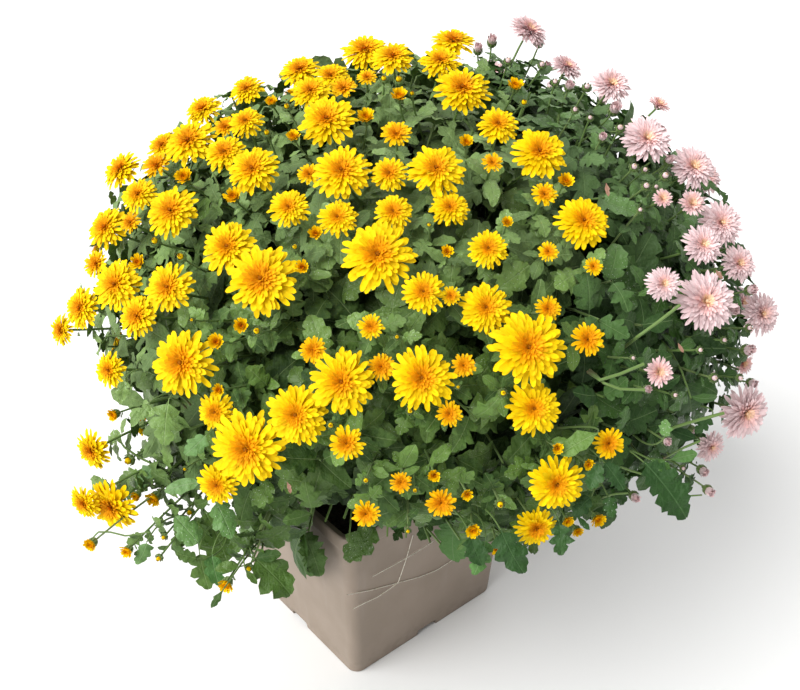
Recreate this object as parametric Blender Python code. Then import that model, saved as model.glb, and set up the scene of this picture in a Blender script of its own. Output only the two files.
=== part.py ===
"""Pot chrysanthemum: a yellow and a pink plant in one square planter.

Metres, +Z up. The origin is the centre of the planter's base, on the surface that it
stands on, and the planter's sides lie along X and Y. The flowers sit on a wide low
dome that leans a little past the planter's +X side, where the pink plant grows.
The flowers of the side that the reference photograph shows are placed by their pixels
there: each pixel's line of sight is followed to the dome. A seeded rule places the
flowers of the other side.
"""

import math
import random
from collections import namedtuple

import bmesh
import bpy
from mathutils import Matrix, Vector
from mathutils.bvhtree import BVHTree

# Planter: a moulded square pot, its sides at the base, under the rim and over the rim
BASE_SIDE = 0.220
TOP_SIDE = 0.243
RIM_SIDE = 0.250
PLANTER_HEIGHT = 0.222
RIM_HEIGHT = 0.019
RIM_WIDTH = 0.0075
WALL = 0.003
FLOOR = 0.004
CORNER_RADIUS = 0.013
RIM_CORNER_RADIUS = 0.018
CORNER_STEPS = 3
NOTCH_WIDTH = 0.030
NOTCH_HEIGHT = 0.008
NOTCH_DEPTH = 0.022
DRAIN_WIDTH = 0.012
DRAIN_HEIGHT = 0.004

# Soil
SOIL_TOP = 0.198
SOIL_MOUND = 0.004
GAP = 0.0003
HOLE_DEPTH = 0.045

# Stems that stand in the soil: place in the soil, and the plant that each belongs to
STEM_RADIUS = 0.004
STEM_SIDES = 6
STEM_MEETS = 0.45
YELLOW_STEMS = [(-0.050, 0.040), (-0.045, -0.045), (0.020, 0.055), (0.018, -0.040)]
PINK_STEMS = [(0.101, -0.066), (0.088, -0.094)]

# Dome on which the flowers' centres lie
DOME_CENTRE = Vector((0.0587, -0.0202, 0.4220))
DOME_RADIUS = 0.355
DOME_RISE = 0.237
HUB_SHARE = 0.82
DOME_SIZE = Vector((DOME_RADIUS, DOME_RADIUS, DOME_RISE))

# Leafy core: a smaller rough dome inside the flowers', which the gap between the plants parts
CORE_SHARE = 0.61
CORE_ROUGHNESS = (0.88, 1.06)
YELLOW_ROOT = Vector((-0.025, 0.002, 0.332))
PINK_ROOT = Vector((0.138, -0.046, 0.338))
BRANCH_START = 0.53

# Line of sight of the reference photograph: eye in metres, angles in degrees
EYE = Vector((-0.5756, -0.7507, 0.9275))
SIGHT_TURN = -39.777
SIGHT_FALL = 31.244
PHOTO_MIDDLE = (400.0, 345.0)
FOCAL_PIXELS = 1000.0

# Flowers that the photograph shows: x, y and diameter in its pixels
YELLOW_OPEN = [
    (247, 90, 38), (203, 110, 40), (223, 125, 26), (246, 122, 38), (190, 142, 56),
    (163, 146, 36), (157, 164, 32), (225, 153, 44), (253, 170, 56), (122, 170, 46),
    (139, 195, 40), (127, 214, 26), (107, 228, 48), (172, 212, 58), (229, 248, 60),
    (262, 280, 76), (97, 264, 30), (117, 285, 56), (169, 288, 54), (82, 308, 46),
    (62, 330, 34), (127, 308, 46), (289, 208, 44), (183, 363, 72), (110, 370, 38),
    (93, 450, 44), (113, 505, 60), (82, 518, 38), (248, 448, 80), (217, 420, 42),
    (218, 484, 46), (287, 420, 66), (300, 71, 44), (325, 70, 40), (311, 92, 44),
    (338, 85, 30), (327, 121, 62), (365, 52, 52), (393, 58, 46), (367, 78, 22),
    (396, 135, 33), (453, 42, 46), (440, 62, 44), (462, 90, 60), (498, 125, 44),
    (342, 172, 62), (314, 170, 26), (388, 170, 40), (436, 170, 60), (447, 192, 42),
    (492, 163, 23), (338, 218, 42), (392, 213, 42), (378, 256, 78), (488, 249, 42),
    (539, 153, 60), (544, 195, 28), (583, 222, 58), (548, 252, 22), (593, 267, 20),
    (495, 312, 56), (547, 312, 28), (528, 348, 80), (587, 340, 36), (535, 401, 58),
    (422, 290, 46), (445, 293, 22), (371, 327, 28), (315, 353, 30), (342, 382, 70),
    (378, 369, 30), (422, 378, 68), (461, 366, 26), (448, 412, 28), (347, 443, 38),
    (401, 482, 24), (441, 502, 32), (366, 513, 30), (556, 483, 60), (536, 527, 44),
    (608, 443, 34),
]
YELLOW_HALF = [
    (234, 193, 19), (185, 178, 20), (137, 263, 18), (298, 267, 16), (217, 342, 18),
    (242, 326, 17), (115, 414, 15), (92, 543, 16), (155, 497, 18), (128, 550, 15),
    (227, 583, 18), (364, 117, 20), (399, 97, 18), (466, 143, 16), (317, 232, 16),
    (515, 87, 18), (565, 182, 18), (473, 529, 17), (497, 546, 17), (597, 518, 17),
    (294, 137, 15), (434, 475, 14), (447, 252, 14), (219, 390, 14),
    (272, 103, 14),
]
YELLOW_BUDS = [
    (155, 239, 12), (181, 257, 12), (257, 331, 12), (129, 460, 13), (190, 512, 10),
    (399, 80, 12), (503, 393, 10), (331, 425, 10), (500, 504, 12),
]
PINK_OPEN = [
    (528, 32, 46), (566, 68, 36), (611, 86, 44), (658, 106, 26), (646, 140, 54),
    (692, 168, 50), (691, 204, 30), (720, 224, 50), (702, 245, 44), (739, 262, 40),
    (663, 284, 38), (704, 302, 66), (760, 314, 46), (658, 372, 32), (743, 412, 60),
    (710, 446, 34), (662, 199, 22),
]
PINK_HALF = [
    (614, 110, 18), (747, 350, 18), (731, 310, 18), (750, 290, 16), (569, 87, 14),
    (492, 42, 15), (478, 50, 14), (669, 156, 14), (702, 470, 15), (708, 490, 15),
    (634, 496, 15), (756, 389, 14),
]
PINK_BUDS = [
    (542, 65, 10), (587, 87, 11), (646, 186, 11), (714, 378, 11),
]

# Flowers of the side that the photograph doesn't show: sprays placed by a seeded rule
HIDDEN_SPRAYS = 10
HIDDEN_CHOICES = 240
HIDDEN_LOWEST = -0.45
HIDDEN_FLOWERS = 3
HIDDEN_SMALLEST = 0.017
HIDDEN_LARGEST = 0.028
HIDDEN_CLEARANCE = 0.062
PINK_SIDE = Vector((0.94, -0.34, 0.0))
PINK_EDGE = 0.105

# The gap between the two plants: a plane's direction toward the pink plant, and how far out it is
PARTING_NORMAL = Vector((0.897, -0.437, -0.066))
PARTING_OFFSET = 0.0967

# Single flowers between the hidden sprays
BEHIND_SEED = 13
BEHIND_CHOICES = 160
BEHIND_LOWEST = -0.52
BEHIND_SHARES = (0.95, 1.0)
BEHIND_SIGHT = -0.06
BEHIND_OPEN = 0.56
BEHIND_HALF = 0.88
BEHIND_RADII = (0.013, 0.024)
BEHIND_HALF_RADIUS = 0.0085
BEHIND_BUD_RADIUS = 0.0055
BEHIND_ROOM = 1.04
BEHIND_PINK = 0.03

# How flowers that would overlap move apart, as shares of the overlap
SPREAD_ROUNDS = 3
SPREAD_ACROSS = 0.22
SPREAD_DOWN = 0.30

# Calyx: its radius in metres, its depth as a share of an open and of a closed flower's radius
CALYX_RADIUS = 0.0030
CALYX_DEPTH = 0.30
CLOSED_DEPTH = 0.85

# Outer and inner petals of a flower by its radius
LARGE_FLOWER = 0.021
SMALL_FLOWER = 0.0185
PETALS_LARGE = (6, 3)
PETALS_MEDIUM = (6, 3)
PETALS_SMALL = (6, 0)

# Way a flower faces: shares of the way to the eye and of straight up, the rest is the dome's
YELLOW_TO_EYE = 0.30
PINK_TO_EYE = 0.0
UPWARD = 0.10

# Flower stalks: how far a long one bows, and the short stem that carries a spray
STALK_RADIUS = 0.0014
STALK_SIDES = 3
STALK_LEAN = 0.11
SHORT_STALK = 0.068
STUB_RADIUS = 0.0024
STUB_LENGTH = 0.014
KNOT_RADIUS = 0.0055

# Sprays: how wide one may grow, and how few each plant's flowers are gathered in
SPRAY_REACH = 0.115
MOST_SPRAYS_YELLOW = 26
MOST_SPRAYS_PINK = 9

# Branches: a bow is how far the middle moves up or down and across, as shares of the span
BRANCH_RADIUS = 0.0032
BRANCH_SIDES = 3
BRANCH_BOWS = [
    (0.0, 0.0), (-0.12, 0.0), (0.12, 0.0), (0.0, 0.14), (0.0, -0.14), (-0.15, 0.15), (-0.15, -0.15),
    (0.15, 0.15), (0.15, -0.15), (-0.28, 0.0), (0.0, 0.28), (0.0, -0.28), (-0.28, 0.2), (-0.28, -0.2),
]

# Leafy shoots without flowers, which fill the wider gaps between sprays
SHOOTS = 5
SHOOT_CHOICES = 90
SHOOT_LOWEST = -0.80
SHOOT_FROM_GAP = 0.02
SHOOT_SHARE = 0.86
SHOOT_CLEARANCE = 0.050
SHOOT_RADII = [0.0026, 0.0024, 0.0016]

# Leaves: the outline gives the half width along one, as shares of its length
LEAF_LENGTH = 0.056
LEAF_KEEL = 0.0026
LEAF_KEEL_AT = 0.45
LEAF_BEND = 0.7
LEAF_OUTLINE = [(0.38, 0.36), (0.50, 0.17), (0.80, 0.27)]
LEAVES_PER_BRANCH = 2
LEAF_SIZES = (0.80, 1.15)
LEAF_BENDS = (0.6, 1.3)
LEAVES_APART = 0.35
CORE_LEAVES = 78
CORE_LEAF_LOWEST = -0.75
CORE_LEAF_SUNK = 0.006
CORE_LEAF_LENGTH = 0.086
CORE_LEAF_FROM_GAP = 0.009
CORE_LEAF_TURN = 1.3
CORE_LEAF_LIFTS = (0.7, 1.6)
LEAF_TURNS = 14
LEAF_LIFTS = (0.60, 0.25, -0.20)

# Leaves that hang over the front rim: photograph pixel of the middle, length in metres
RIM_LEAVES_LEFT = [(268, 520, 0.070), (278, 566, 0.058), (318, 548, 0.062)]
RIM_LEAVES_RIGHT = [(360, 540, 0.058), (450, 537, 0.062), (486, 556, 0.058)]
RIM_LEAF_BEND = 2.0
RIM_LEAF_OUT = 0.012
RIM_LEAF_OVER = 0.014
RIM_LEAF_BACK = 0.016
LEAF_STALK_RADII = [0.0022, 0.0018, 0.0014]

# Room that pieces keep from each other, and the steps at which it is tested
CLEARANCE = 0.0022
SPRAY_MARGIN = 0.0012
LEAF_SPACING = 0.007
SIDE_CLEARANCE = 0.0030
PROBE_STEP = 0.005
LEAF_PROBES = 3

# Faces that lie this flat to each other, in radians, are joined before the last triangles
FLAT_ANGLE = 0.03
SEED = 11

Flower = namedtuple("Flower", "place facing radius stage colour")
Spray = namedtuple("Spray", "flowers hub axis colour")

YELLOW = (0.95, 0.66, 0.03, 1.0)
PINK = (0.80, 0.50, 0.56, 1.0)
GREEN = (0.12, 0.24, 0.06, 1.0)
TAUPE = (0.43, 0.37, 0.31, 1.0)
PEAT = (0.035, 0.025, 0.018, 1.0)


def clear_scene():
    """Remove every object that the file opened with."""
    for item in list(bpy.data.objects):
        bpy.data.objects.remove(item, do_unlink=True)


def make_material(name, colour, roughness):
    """Return a plain Principled material."""
    material = bpy.data.materials.new(name)
    material.use_nodes = True
    shader = material.node_tree.nodes["Principled BSDF"]
    shader.inputs["Base Color"].default_value = colour
    shader.inputs["Roughness"].default_value = roughness
    shader.inputs["Metallic"].default_value = 0.0
    material.diffuse_color = colour
    return material


def make_object(name, bm, material):
    """Turn a bmesh into an object with one material, its faces pointing out."""
    bmesh.ops.recalc_face_normals(bm, faces=bm.faces)
    mesh = bpy.data.meshes.new(name)
    bm.to_mesh(mesh)
    bm.free()
    mesh.materials.append(material)
    item = bpy.data.objects.new(name, mesh)
    bpy.context.scene.collection.objects.link(item)
    return item


def evaluated_copy(item):
    """Return the mesh of an object with its modifiers applied."""
    graph = bpy.context.evaluated_depsgraph_get()
    return bpy.data.meshes.new_from_object(item.evaluated_get(graph))


def boolean(item, tools, operation, solver="EXACT"):
    """Join or cut an object with a list of others, apply it and remove the others."""
    group = bpy.data.collections.new("tools")
    bpy.context.scene.collection.children.link(group)
    for tool in tools:
        bpy.context.scene.collection.objects.unlink(tool)
        group.objects.link(tool)
    modifier = item.modifiers.new("join", "BOOLEAN")
    modifier.operation = operation
    modifier.operand_type = "COLLECTION"
    modifier.collection = group
    modifier.solver = solver
    mesh = evaluated_copy(item)
    item.modifiers.clear()
    old = item.data
    item.data = mesh
    bpy.data.meshes.remove(old)
    for tool in list(tools):
        bpy.data.objects.remove(tool, do_unlink=True)
    bpy.data.collections.remove(group)


def plain_triangles(mesh):
    """Return a mesh's triangles once faces that lie flat are joined, as long as it stays closed."""
    for angle in (FLAT_ANGLE, FLAT_ANGLE / 3, FLAT_ANGLE / 10):
        bm = bmesh.new()
        bm.from_mesh(mesh)
        bmesh.ops.dissolve_limit(bm, angle_limit=angle, verts=bm.verts, edges=bm.edges)
        bmesh.ops.triangulate(bm, faces=bm.faces)
        if all(len(edge.link_faces) == 2 for edge in bm.edges):
            return bm
        bm.free()
    bm = bmesh.new()
    bm.from_mesh(mesh)
    bmesh.ops.triangulate(bm, faces=bm.faces)
    return bm


def keep_largest_body(item):
    """Drop loose scraps and sealed hollows, so that one closed body is left."""
    bm = plain_triangles(item.data)
    unseen = set(bm.verts)
    bodies = []
    while unseen:
        body = {unseen.pop()}
        edge_of_body = set(body)
        while edge_of_body:
            reached = {e.other_vert(v) for v in edge_of_body for e in v.link_edges}
            edge_of_body = reached - body
            body |= reached
        unseen -= body
        bodies.append(body)
    bodies.sort(key=len)
    scraps = [v for body in bodies[:-1] for v in body]
    bmesh.ops.delete(bm, geom=scraps, context="VERTS")
    bm.to_mesh(item.data)
    bm.free()


def bridge(bm, low, high):
    """Join two closed rings, each a list of (angle, vertex), with triangles."""
    low_at = 0
    high_at = 0
    while low_at < len(low) or high_at < len(high):
        low_next = low[(low_at + 1) % len(low)][0] + math.tau * ((low_at + 1) // len(low))
        high_next = high[(high_at + 1) % len(high)][0] + math.tau * ((high_at + 1) // len(high))
        low_vert = low[low_at % len(low)][1]
        high_vert = high[high_at % len(high)][1]
        take_low = high_at >= len(high) or (low_at < len(low) and low_next <= high_next)
        if take_low:
            low_at += 1
            bm.faces.new((low_vert, low[low_at % len(low)][1], high_vert))
        else:
            high_at += 1
            bm.faces.new((high_vert, low_vert, high[high_at % len(high)][1]))


def close_ring(bm, ring, centre=None):
    """Close a ring with one face, or with a fan to a centre point."""
    verts = [vert for _, vert in ring]
    if centre is None:
        bm.faces.new(verts)
        return
    top = bm.verts.new(centre)
    for at, vert in enumerate(verts):
        bm.faces.new((vert, verts[(at + 1) % len(verts)], top))


def polar_ring(bm, count, radius, height, start=0.0, frame=Matrix()):
    """Return a ring of count points; radius and height are numbers or functions of the index."""
    ring = []
    for at in range(count):
        angle = start + math.tau * at / count
        reach = radius(at) if callable(radius) else radius
        level = height(at) if callable(height) else height
        point = Vector((reach * math.cos(angle), reach * math.sin(angle), level))
        ring.append((angle, bm.verts.new(frame @ point)))
    return ring


def rounded_square(bm, side, corner, level):
    """Return a ring that follows a square with rounded corners."""
    ring = []
    flat = side / 2 - corner
    for quarter in range(4):
        middle = math.pi / 4 + quarter * math.pi / 2
        centre = Vector((math.copysign(flat, math.cos(middle)), math.copysign(flat, math.sin(middle))))
        for step in range(CORNER_STEPS + 1):
            angle = quarter * math.pi / 2 + step * math.pi / 2 / CORNER_STEPS
            point = centre + corner * Vector((math.cos(angle), math.sin(angle)))
            ring.append((angle, bm.verts.new((point.x, point.y, level))))
    return ring


def loft(bm, rings):
    """Join rings of equal count in order, and close both ends."""
    for low, high in zip(rings, rings[1:]):
        count = len(low)
        for at in range(count):
            after = (at + 1) % count
            bm.faces.new((low[at][1], low[after][1], high[after][1], high[at][1]))
    close_ring(bm, list(reversed(rings[0])))
    close_ring(bm, rings[-1])


def box_tool(name, size, centre, turn, material):
    """Return a box turned about Z, as a tool for a Boolean."""
    bm = bmesh.new()
    bmesh.ops.create_cube(bm, size=1.0)
    bmesh.ops.scale(bm, vec=size, verts=bm.verts)
    bmesh.ops.translate(bm, vec=centre, verts=bm.verts)
    bmesh.ops.rotate(bm, cent=(0, 0, 0), matrix=Matrix.Rotation(turn, 3, "Z"), verts=bm.verts)
    return make_object(name, bm, material)


def inner_side(level):
    """Return the side of the planter's inside at a height."""
    share = (level - FLOOR) / (PLANTER_HEIGHT - RIM_HEIGHT - FLOOR)
    return BASE_SIDE + share * (TOP_SIDE - BASE_SIDE) - 2 * WALL


def make_planter(material):
    """Model the planter: moulded walls, a band for a rim, and a drain notch in each side."""
    bm = bmesh.new()
    under_rim = PLANTER_HEIGHT - RIM_HEIGHT
    inner_corner = CORNER_RADIUS - WALL
    rings = [
        rounded_square(bm, BASE_SIDE, CORNER_RADIUS, 0.0),
        rounded_square(bm, TOP_SIDE, CORNER_RADIUS, under_rim),
        rounded_square(bm, RIM_SIDE - 0.001, RIM_CORNER_RADIUS, under_rim),
        rounded_square(bm, RIM_SIDE, RIM_CORNER_RADIUS, PLANTER_HEIGHT - 0.002),
        rounded_square(bm, RIM_SIDE - 0.003, RIM_CORNER_RADIUS - 0.001, PLANTER_HEIGHT),
        rounded_square(bm, RIM_SIDE - 2 * RIM_WIDTH, inner_corner, PLANTER_HEIGHT),
        rounded_square(bm, TOP_SIDE - 2 * WALL, inner_corner, under_rim - 0.002),
        rounded_square(bm, BASE_SIDE - 2 * WALL, inner_corner, FLOOR),
    ]
    loft(bm, rings)
    planter = make_object("planter", bm, material)
    housings = []
    notches = []
    for quarter in range(4):
        turn = quarter * math.pi / 2
        edge = BASE_SIDE / 2
        housing = (NOTCH_DEPTH + WALL, NOTCH_WIDTH + 2 * WALL, NOTCH_HEIGHT + WALL)
        place = (edge - WALL / 2 - housing[0] / 2, 0.0, housing[2] / 2 + 0.0004)
        housings.append(box_tool("housing", housing, place, turn, material))
        notch = (NOTCH_DEPTH + 0.01, NOTCH_WIDTH, NOTCH_HEIGHT * 2)
        place = (edge - NOTCH_DEPTH + notch[0] / 2, 0.0, 0.0)
        notches.append(box_tool("notch", notch, place, turn, material))
        drain = (4 * WALL, DRAIN_WIDTH, DRAIN_HEIGHT)
        place = (edge - NOTCH_DEPTH - WALL / 2, 0.0, NOTCH_HEIGHT - DRAIN_HEIGHT / 2 - 0.001)
        notches.append(box_tool("drain", drain, place, turn, material))
    boolean(planter, housings, "UNION")
    boolean(planter, notches, "DIFFERENCE")
    keep_largest_body(planter)
    return planter


def make_soil(material):
    """Model the compost that fills the planter, with a hole for each stem."""
    rng = random.Random(SEED)
    bm = bmesh.new()
    low = FLOOR + GAP
    corner = CORNER_RADIUS - WALL
    rings = [
        rounded_square(bm, inner_side(low) - 2 * GAP, corner, low),
        rounded_square(bm, inner_side(SOIL_TOP) - 3 * GAP, corner, SOIL_TOP),
    ]
    for at in range(len(rings[0])):
        after = (at + 1) % len(rings[0])
        bm.faces.new((rings[0][at][1], rings[0][after][1], rings[1][after][1], rings[1][at][1]))
    close_ring(bm, list(reversed(rings[0])))
    middle = polar_ring(bm, 9, 0.068, lambda at: SOIL_TOP + SOIL_MOUND * rng.random(), 0.2)
    bridge(bm, rings[1], middle)
    close_ring(bm, middle, (0.0, 0.0, SOIL_TOP + SOIL_MOUND))
    bmesh.ops.triangulate(bm, faces=bm.faces)
    soil = make_object("soil", bm, material)
    tools = []
    for quarter in range(4):
        height = 2 * (NOTCH_HEIGHT + WALL + 0.0008)
        size = (NOTCH_DEPTH + 2 * WALL, NOTCH_WIDTH + 2 * WALL + 2 * GAP, height)
        place = (BASE_SIDE / 2 - WALL / 2 - NOTCH_DEPTH - WALL - GAP + size[0] / 2, 0.0, 0.0)
        tools.append(box_tool("housing_space", size, place, quarter * math.pi / 2, material))
    for x, y in YELLOW_STEMS + PINK_STEMS:
        hole = bmesh.new()
        bottom = SOIL_TOP - HOLE_DEPTH
        levels = (bottom, SOIL_TOP + 0.02)
        rings = [polar_ring(hole, STEM_SIDES, STEM_RADIUS + 2 * GAP, level) for level in levels]
        loft(hole, rings)
        bmesh.ops.translate(hole, vec=(x, y, 0.0), verts=hole.verts)
        tools.append(make_object("stem_hole", hole, material))
    boolean(soil, tools, "DIFFERENCE")
    keep_largest_body(soil)
    return soil


def sight_line(x, y):
    """Return the direction of a photograph pixel's line of sight."""
    turn = math.radians(SIGHT_TURN)
    fall = math.radians(SIGHT_FALL)
    back = Vector((math.sin(turn) * math.cos(fall), -math.cos(turn) * math.cos(fall), math.sin(fall)))
    right = Vector((math.cos(turn), math.sin(turn), 0.0))
    up = right.cross(-back)
    across = (x - PHOTO_MIDDLE[0]) / FOCAL_PIXELS
    down = (y - PHOTO_MIDDLE[1]) / FOCAL_PIXELS
    return right * across - up * down - back


def scaled(vector, size):
    """Divide a vector by sizes along each axis."""
    return Vector((vector.x / size.x, vector.y / size.y, vector.z / size.z))


def dome_facing(point):
    """Return the dome's outward direction at or near a point."""
    return scaled(scaled(point - DOME_CENTRE, DOME_SIZE), DOME_SIZE).normalized()


def flower_from_pixel(pixel, stage, colour):
    """Follow a pixel's line of sight to the dome, or to where it passes nearest."""
    x, y, across = pixel
    line = sight_line(x, y)
    start = scaled(EYE - DOME_CENTRE, DOME_SIZE)
    step = scaled(line, DOME_SIZE)
    a = step.dot(step)
    b = start.dot(step)
    c = start.dot(start) - 1.0
    inside = b * b - a * c
    reach = (-b - math.sqrt(inside)) / a if inside > 0.0 else -b / a
    place = EYE + reach * line
    to_eye = (EYE - place).normalized()
    share = YELLOW_TO_EYE if colour == "yellow" else PINK_TO_EYE
    facing = (1 - share) * dome_facing(place) + share * to_eye + UPWARD * Vector((0, 0, 1))
    radius = across / 2 * reach / FOCAL_PIXELS
    return Flower(place, facing.normalized(), radius, stage, colour)


def photographed_flowers():
    """Return every flower and bud that the photograph shows."""
    flowers = []
    for colour, stage, pixels in (
        ("yellow", "open", YELLOW_OPEN), ("yellow", "half", YELLOW_HALF), ("yellow", "bud", YELLOW_BUDS),
        ("pink", "open", PINK_OPEN), ("pink", "half", PINK_HALF), ("pink", "bud", PINK_BUDS),
    ):
        flowers += [flower_from_pixel(pixel, stage, colour) for pixel in pixels]
    return flowers


def spread(flowers):
    """Move flowers that overlap apart: the smaller one of a pair goes outward a little and deeper."""
    places = [flower.place.copy() for flower in flowers]
    for _ in range(SPREAD_ROUNDS):
        for at, one in enumerate(flowers):
            for other_at in range(at):
                other = flowers[other_at]
                away = places[at] - places[other_at]
                overlap = one.radius + other.radius - away.length
                if overlap <= 0.0:
                    continue
                small, big = (at, other_at) if one.radius < other.radius else (other_at, at)
                facing = flowers[small].facing
                away = places[small] - places[big]
                across = (away - facing * away.dot(facing)).normalized()
                places[small] += overlap * (SPREAD_ACROSS * across - SPREAD_DOWN * facing)
    return [flower._replace(place=place) for flower, place in zip(flowers, places)]


def dome_directions(count, lowest):
    """Return evenly spread directions, from the top of a sphere to a lowest height."""
    golden = math.pi * (3.0 - math.sqrt(5.0))
    directions = []
    for at in range(count):
        level = 1.0 - (at + 0.5) / count * (1.0 - lowest)
        ring = math.sqrt(1.0 - level * level)
        directions.append(Vector((ring * math.cos(golden * at), ring * math.sin(golden * at), level)))
    return directions


def dome_point(direction, share=1.0):
    """Return the point of the dome, or of a smaller one inside it, in a direction."""
    return DOME_CENTRE + share * Vector(d * s for d, s in zip(direction, DOME_SIZE))


def hidden_middles(shown):
    """Return the middles of the hidden side's sprays, each as far from the others as can be."""
    rest = [dome_point(direction) for direction in dome_directions(HIDDEN_CHOICES, HIDDEN_LOWEST)]
    taken = [flower.place for flower in shown]
    middles = []
    while rest and len(middles) < HIDDEN_SPRAYS:
        rooms = [min((point - other).length for other in taken) for point in rest]
        room, best = max((room, at) for at, room in enumerate(rooms))
        if room < HIDDEN_CLEARANCE:
            break
        middles.append(rest.pop(best))
        taken.append(middles[-1])
    return middles


def hidden_flowers(shown):
    """Place small groups of flowers over the side that the photograph doesn't show."""
    rng = random.Random(SEED + 1)
    flowers = []
    for middle in hidden_middles(shown):
        outward = dome_facing(middle)
        colour = "pink" if (middle - DOME_CENTRE).dot(PINK_SIDE) > PINK_EDGE else "yellow"
        across = outward.orthogonal().normalized()
        start = rng.random() * math.tau
        for at in range(HIDDEN_FLOWERS):
            radius = rng.uniform(HIDDEN_SMALLEST, HIDDEN_LARGEST)
            if colour == "pink":
                radius *= 0.9
            angle = start + at * math.tau / HIDDEN_FLOWERS
            offset = Matrix.Rotation(angle, 3, outward) @ across
            place = middle + offset * radius * 1.08
            spot = scaled(place - DOME_CENTRE, DOME_SIZE).normalized()
            place = dome_point(spot, rng.uniform(0.97, 1.01))
            facing = (dome_facing(place) + UPWARD * Vector((0, 0, 1)) + 0.15 * offset).normalized()
            flowers.append(Flower(place, facing, radius, "open", colour))
    return flowers


def behind_flowers(flowers):
    """Place single flowers and buds where the hidden side still has room for them."""
    rng = random.Random(BEHIND_SEED)
    made = []
    for direction in dome_directions(BEHIND_CHOICES, BEHIND_LOWEST):
        place = dome_point(direction, rng.uniform(*BEHIND_SHARES))
        radius = rng.uniform(*BEHIND_RADII)
        chance = rng.random()
        lean = Vector((rng.uniform(-1, 1), rng.uniform(-1, 1), rng.uniform(-1, 1)))
        stage = "open"
        if chance > BEHIND_OPEN:
            stage = "half" if chance < BEHIND_HALF else "bud"
            radius = BEHIND_HALF_RADIUS if stage == "half" else BEHIND_BUD_RADIUS
        outward = dome_facing(place)
        if outward.dot((EYE - place).normalized()) > BEHIND_SIGHT:
            continue
        if any((place - f.place).length < BEHIND_ROOM * (radius + f.radius) for f in flowers + made):
            continue
        colour = "pink" if side_of_plants(place) > BEHIND_PINK else "yellow"
        facing = (outward + UPWARD * Vector((0, 0, 1)) + 0.18 * lean).normalized()
        made.append(Flower(place, facing, radius, stage, colour))
    return made


def add_behind(sprays, flowers):
    """Give each open single flower to the nearest spray, unless its stalk would cross another one."""
    for flower in flowers:
        if flower.stage != "open":
            continue
        own = [spray for spray in sprays if spray.colour == flower.colour]
        nearest = min(own, key=lambda spray: (spray.hub - flower.place).length)
        tried = nearest._replace(flowers=[flower])
        others = [spray for spray in sprays if spray is not nearest]
        if (nearest.hub - flower.place).length < SPRAY_REACH and not any(
            sprays_cross(tried, other) for other in others
        ):
            nearest.flowers.append(flower)


def group_flowers(flowers, most):
    """Put flowers that touch in one spray, then join the nearest sprays down to a number."""
    groups = [[flower] for flower in flowers]

    def nearness(one, two):
        """Return how near the closest flowers are, less their radii, and the joint width."""
        closest = min((a.place - b.place).length - 1.04 * (a.radius + b.radius) for a in one for b in two)
        width = max((a.place - b.place).length for a in one for b in two)
        return closest, width

    while True:
        best = None
        for at, one in enumerate(groups):
            for other in range(at):
                closest, width = nearness(one, groups[other])
                touching = closest < 0.0005
                if not touching and (len(groups) <= most or width > SPRAY_REACH):
                    continue
                score = closest if touching else 1.0 + closest + 0.5 * width
                if best is None or score < best[0]:
                    best = (score, at, other)
        if best is None:
            return groups
        _, at, other = best
        groups[other] += groups[at]
        del groups[at]


def hang_spray(group, colour):
    """Return the spray of a group of flowers: the hub that carries them and the way it points."""
    weight = sum(f.radius for f in group)
    middle = sum((f.place * f.radius for f in group), Vector()) / weight
    spot = scaled(middle - DOME_CENTRE, DOME_SIZE)
    share = min(HUB_SHARE, spot.length - (1 - HUB_SHARE))
    hub = dome_point(spot.normalized(), share)
    far = max(0.0, spot.length - 1.0)
    hub = hub.lerp(middle, min(0.5, 3 * far))
    root = YELLOW_ROOT if colour == "yellow" else PINK_ROOT
    axis = (0.55 * (hub - root).normalized() + 0.45 * dome_facing(hub)).normalized()
    return Spray(group, hub, axis, colour)


def make_sprays(flowers, most, colour):
    """Return the sprays of one plant; sprays whose stalks or flowers would cross become one."""
    groups = group_flowers([f for f in flowers if f.colour == colour], most)
    sprays = [hang_spray(group, colour) for group in groups]
    while True:
        pair = next(((at, other) for at in range(len(sprays)) for other in range(at)
                     if sprays_cross(sprays[at], sprays[other])), None)
        if pair is None:
            return sprays
        at, other = pair
        sprays[other] = hang_spray(sprays[other].flowers + sprays[at].flowers, colour)
        del sprays[at]


def spray_lines(spray):
    """Return the straight stretches of a spray's stalks and of its own short stem."""
    lines = [(spray.hub - spray.axis * STUB_LENGTH, spray.hub)]
    for flower in spray.flowers:
        path = stalk_path(flower, spray.hub)
        lines += list(zip(path, path[1:]))
    return lines


def probes_along(lines, step):
    """Return points at even steps along straight stretches."""
    probes = []
    for start, end in lines:
        count = max(2, round((end - start).length / step))
        probes += [start.lerp(end, share / count) for share in range(count + 1)]
    return probes


def sprays_cross(one, two):
    """Tell whether the stalks of one spray pass too near the stalks or flowers of another."""
    for lines, other in ((spray_lines(one), two), (spray_lines(two), one)):
        probes = probes_along(lines, PROBE_STEP)
        for flower in other.flowers:
            if any(flower_blocks(flower, probe, STALK_RADIUS + SPRAY_MARGIN) for probe in probes):
                return True
        others = spray_lines(other)
        if any(distance_to_segment(probe, *line) < 2 * STALK_RADIUS + SPRAY_MARGIN
               for probe in probes for line in others):
            return True
    return False


def flower_base(flower):
    """Return the point on a flower's axis where its stalk begins."""
    depth = CALYX_DEPTH if flower.stage == "open" else CLOSED_DEPTH
    return flower.place - flower.facing * depth * flower.radius


def stalk_path(flower, hub):
    """Return the points of a flower's stalk, from its spray's hub to the flower."""
    base = flower_base(flower)
    span = (base - hub).length
    if flower.stage != "open" or span < SHORT_STALK:
        return [hub, base]
    lean = (base - hub).normalized() - flower.facing
    return [hub, 0.5 * (hub + base) + STALK_LEAN * span * lean, base]


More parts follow.
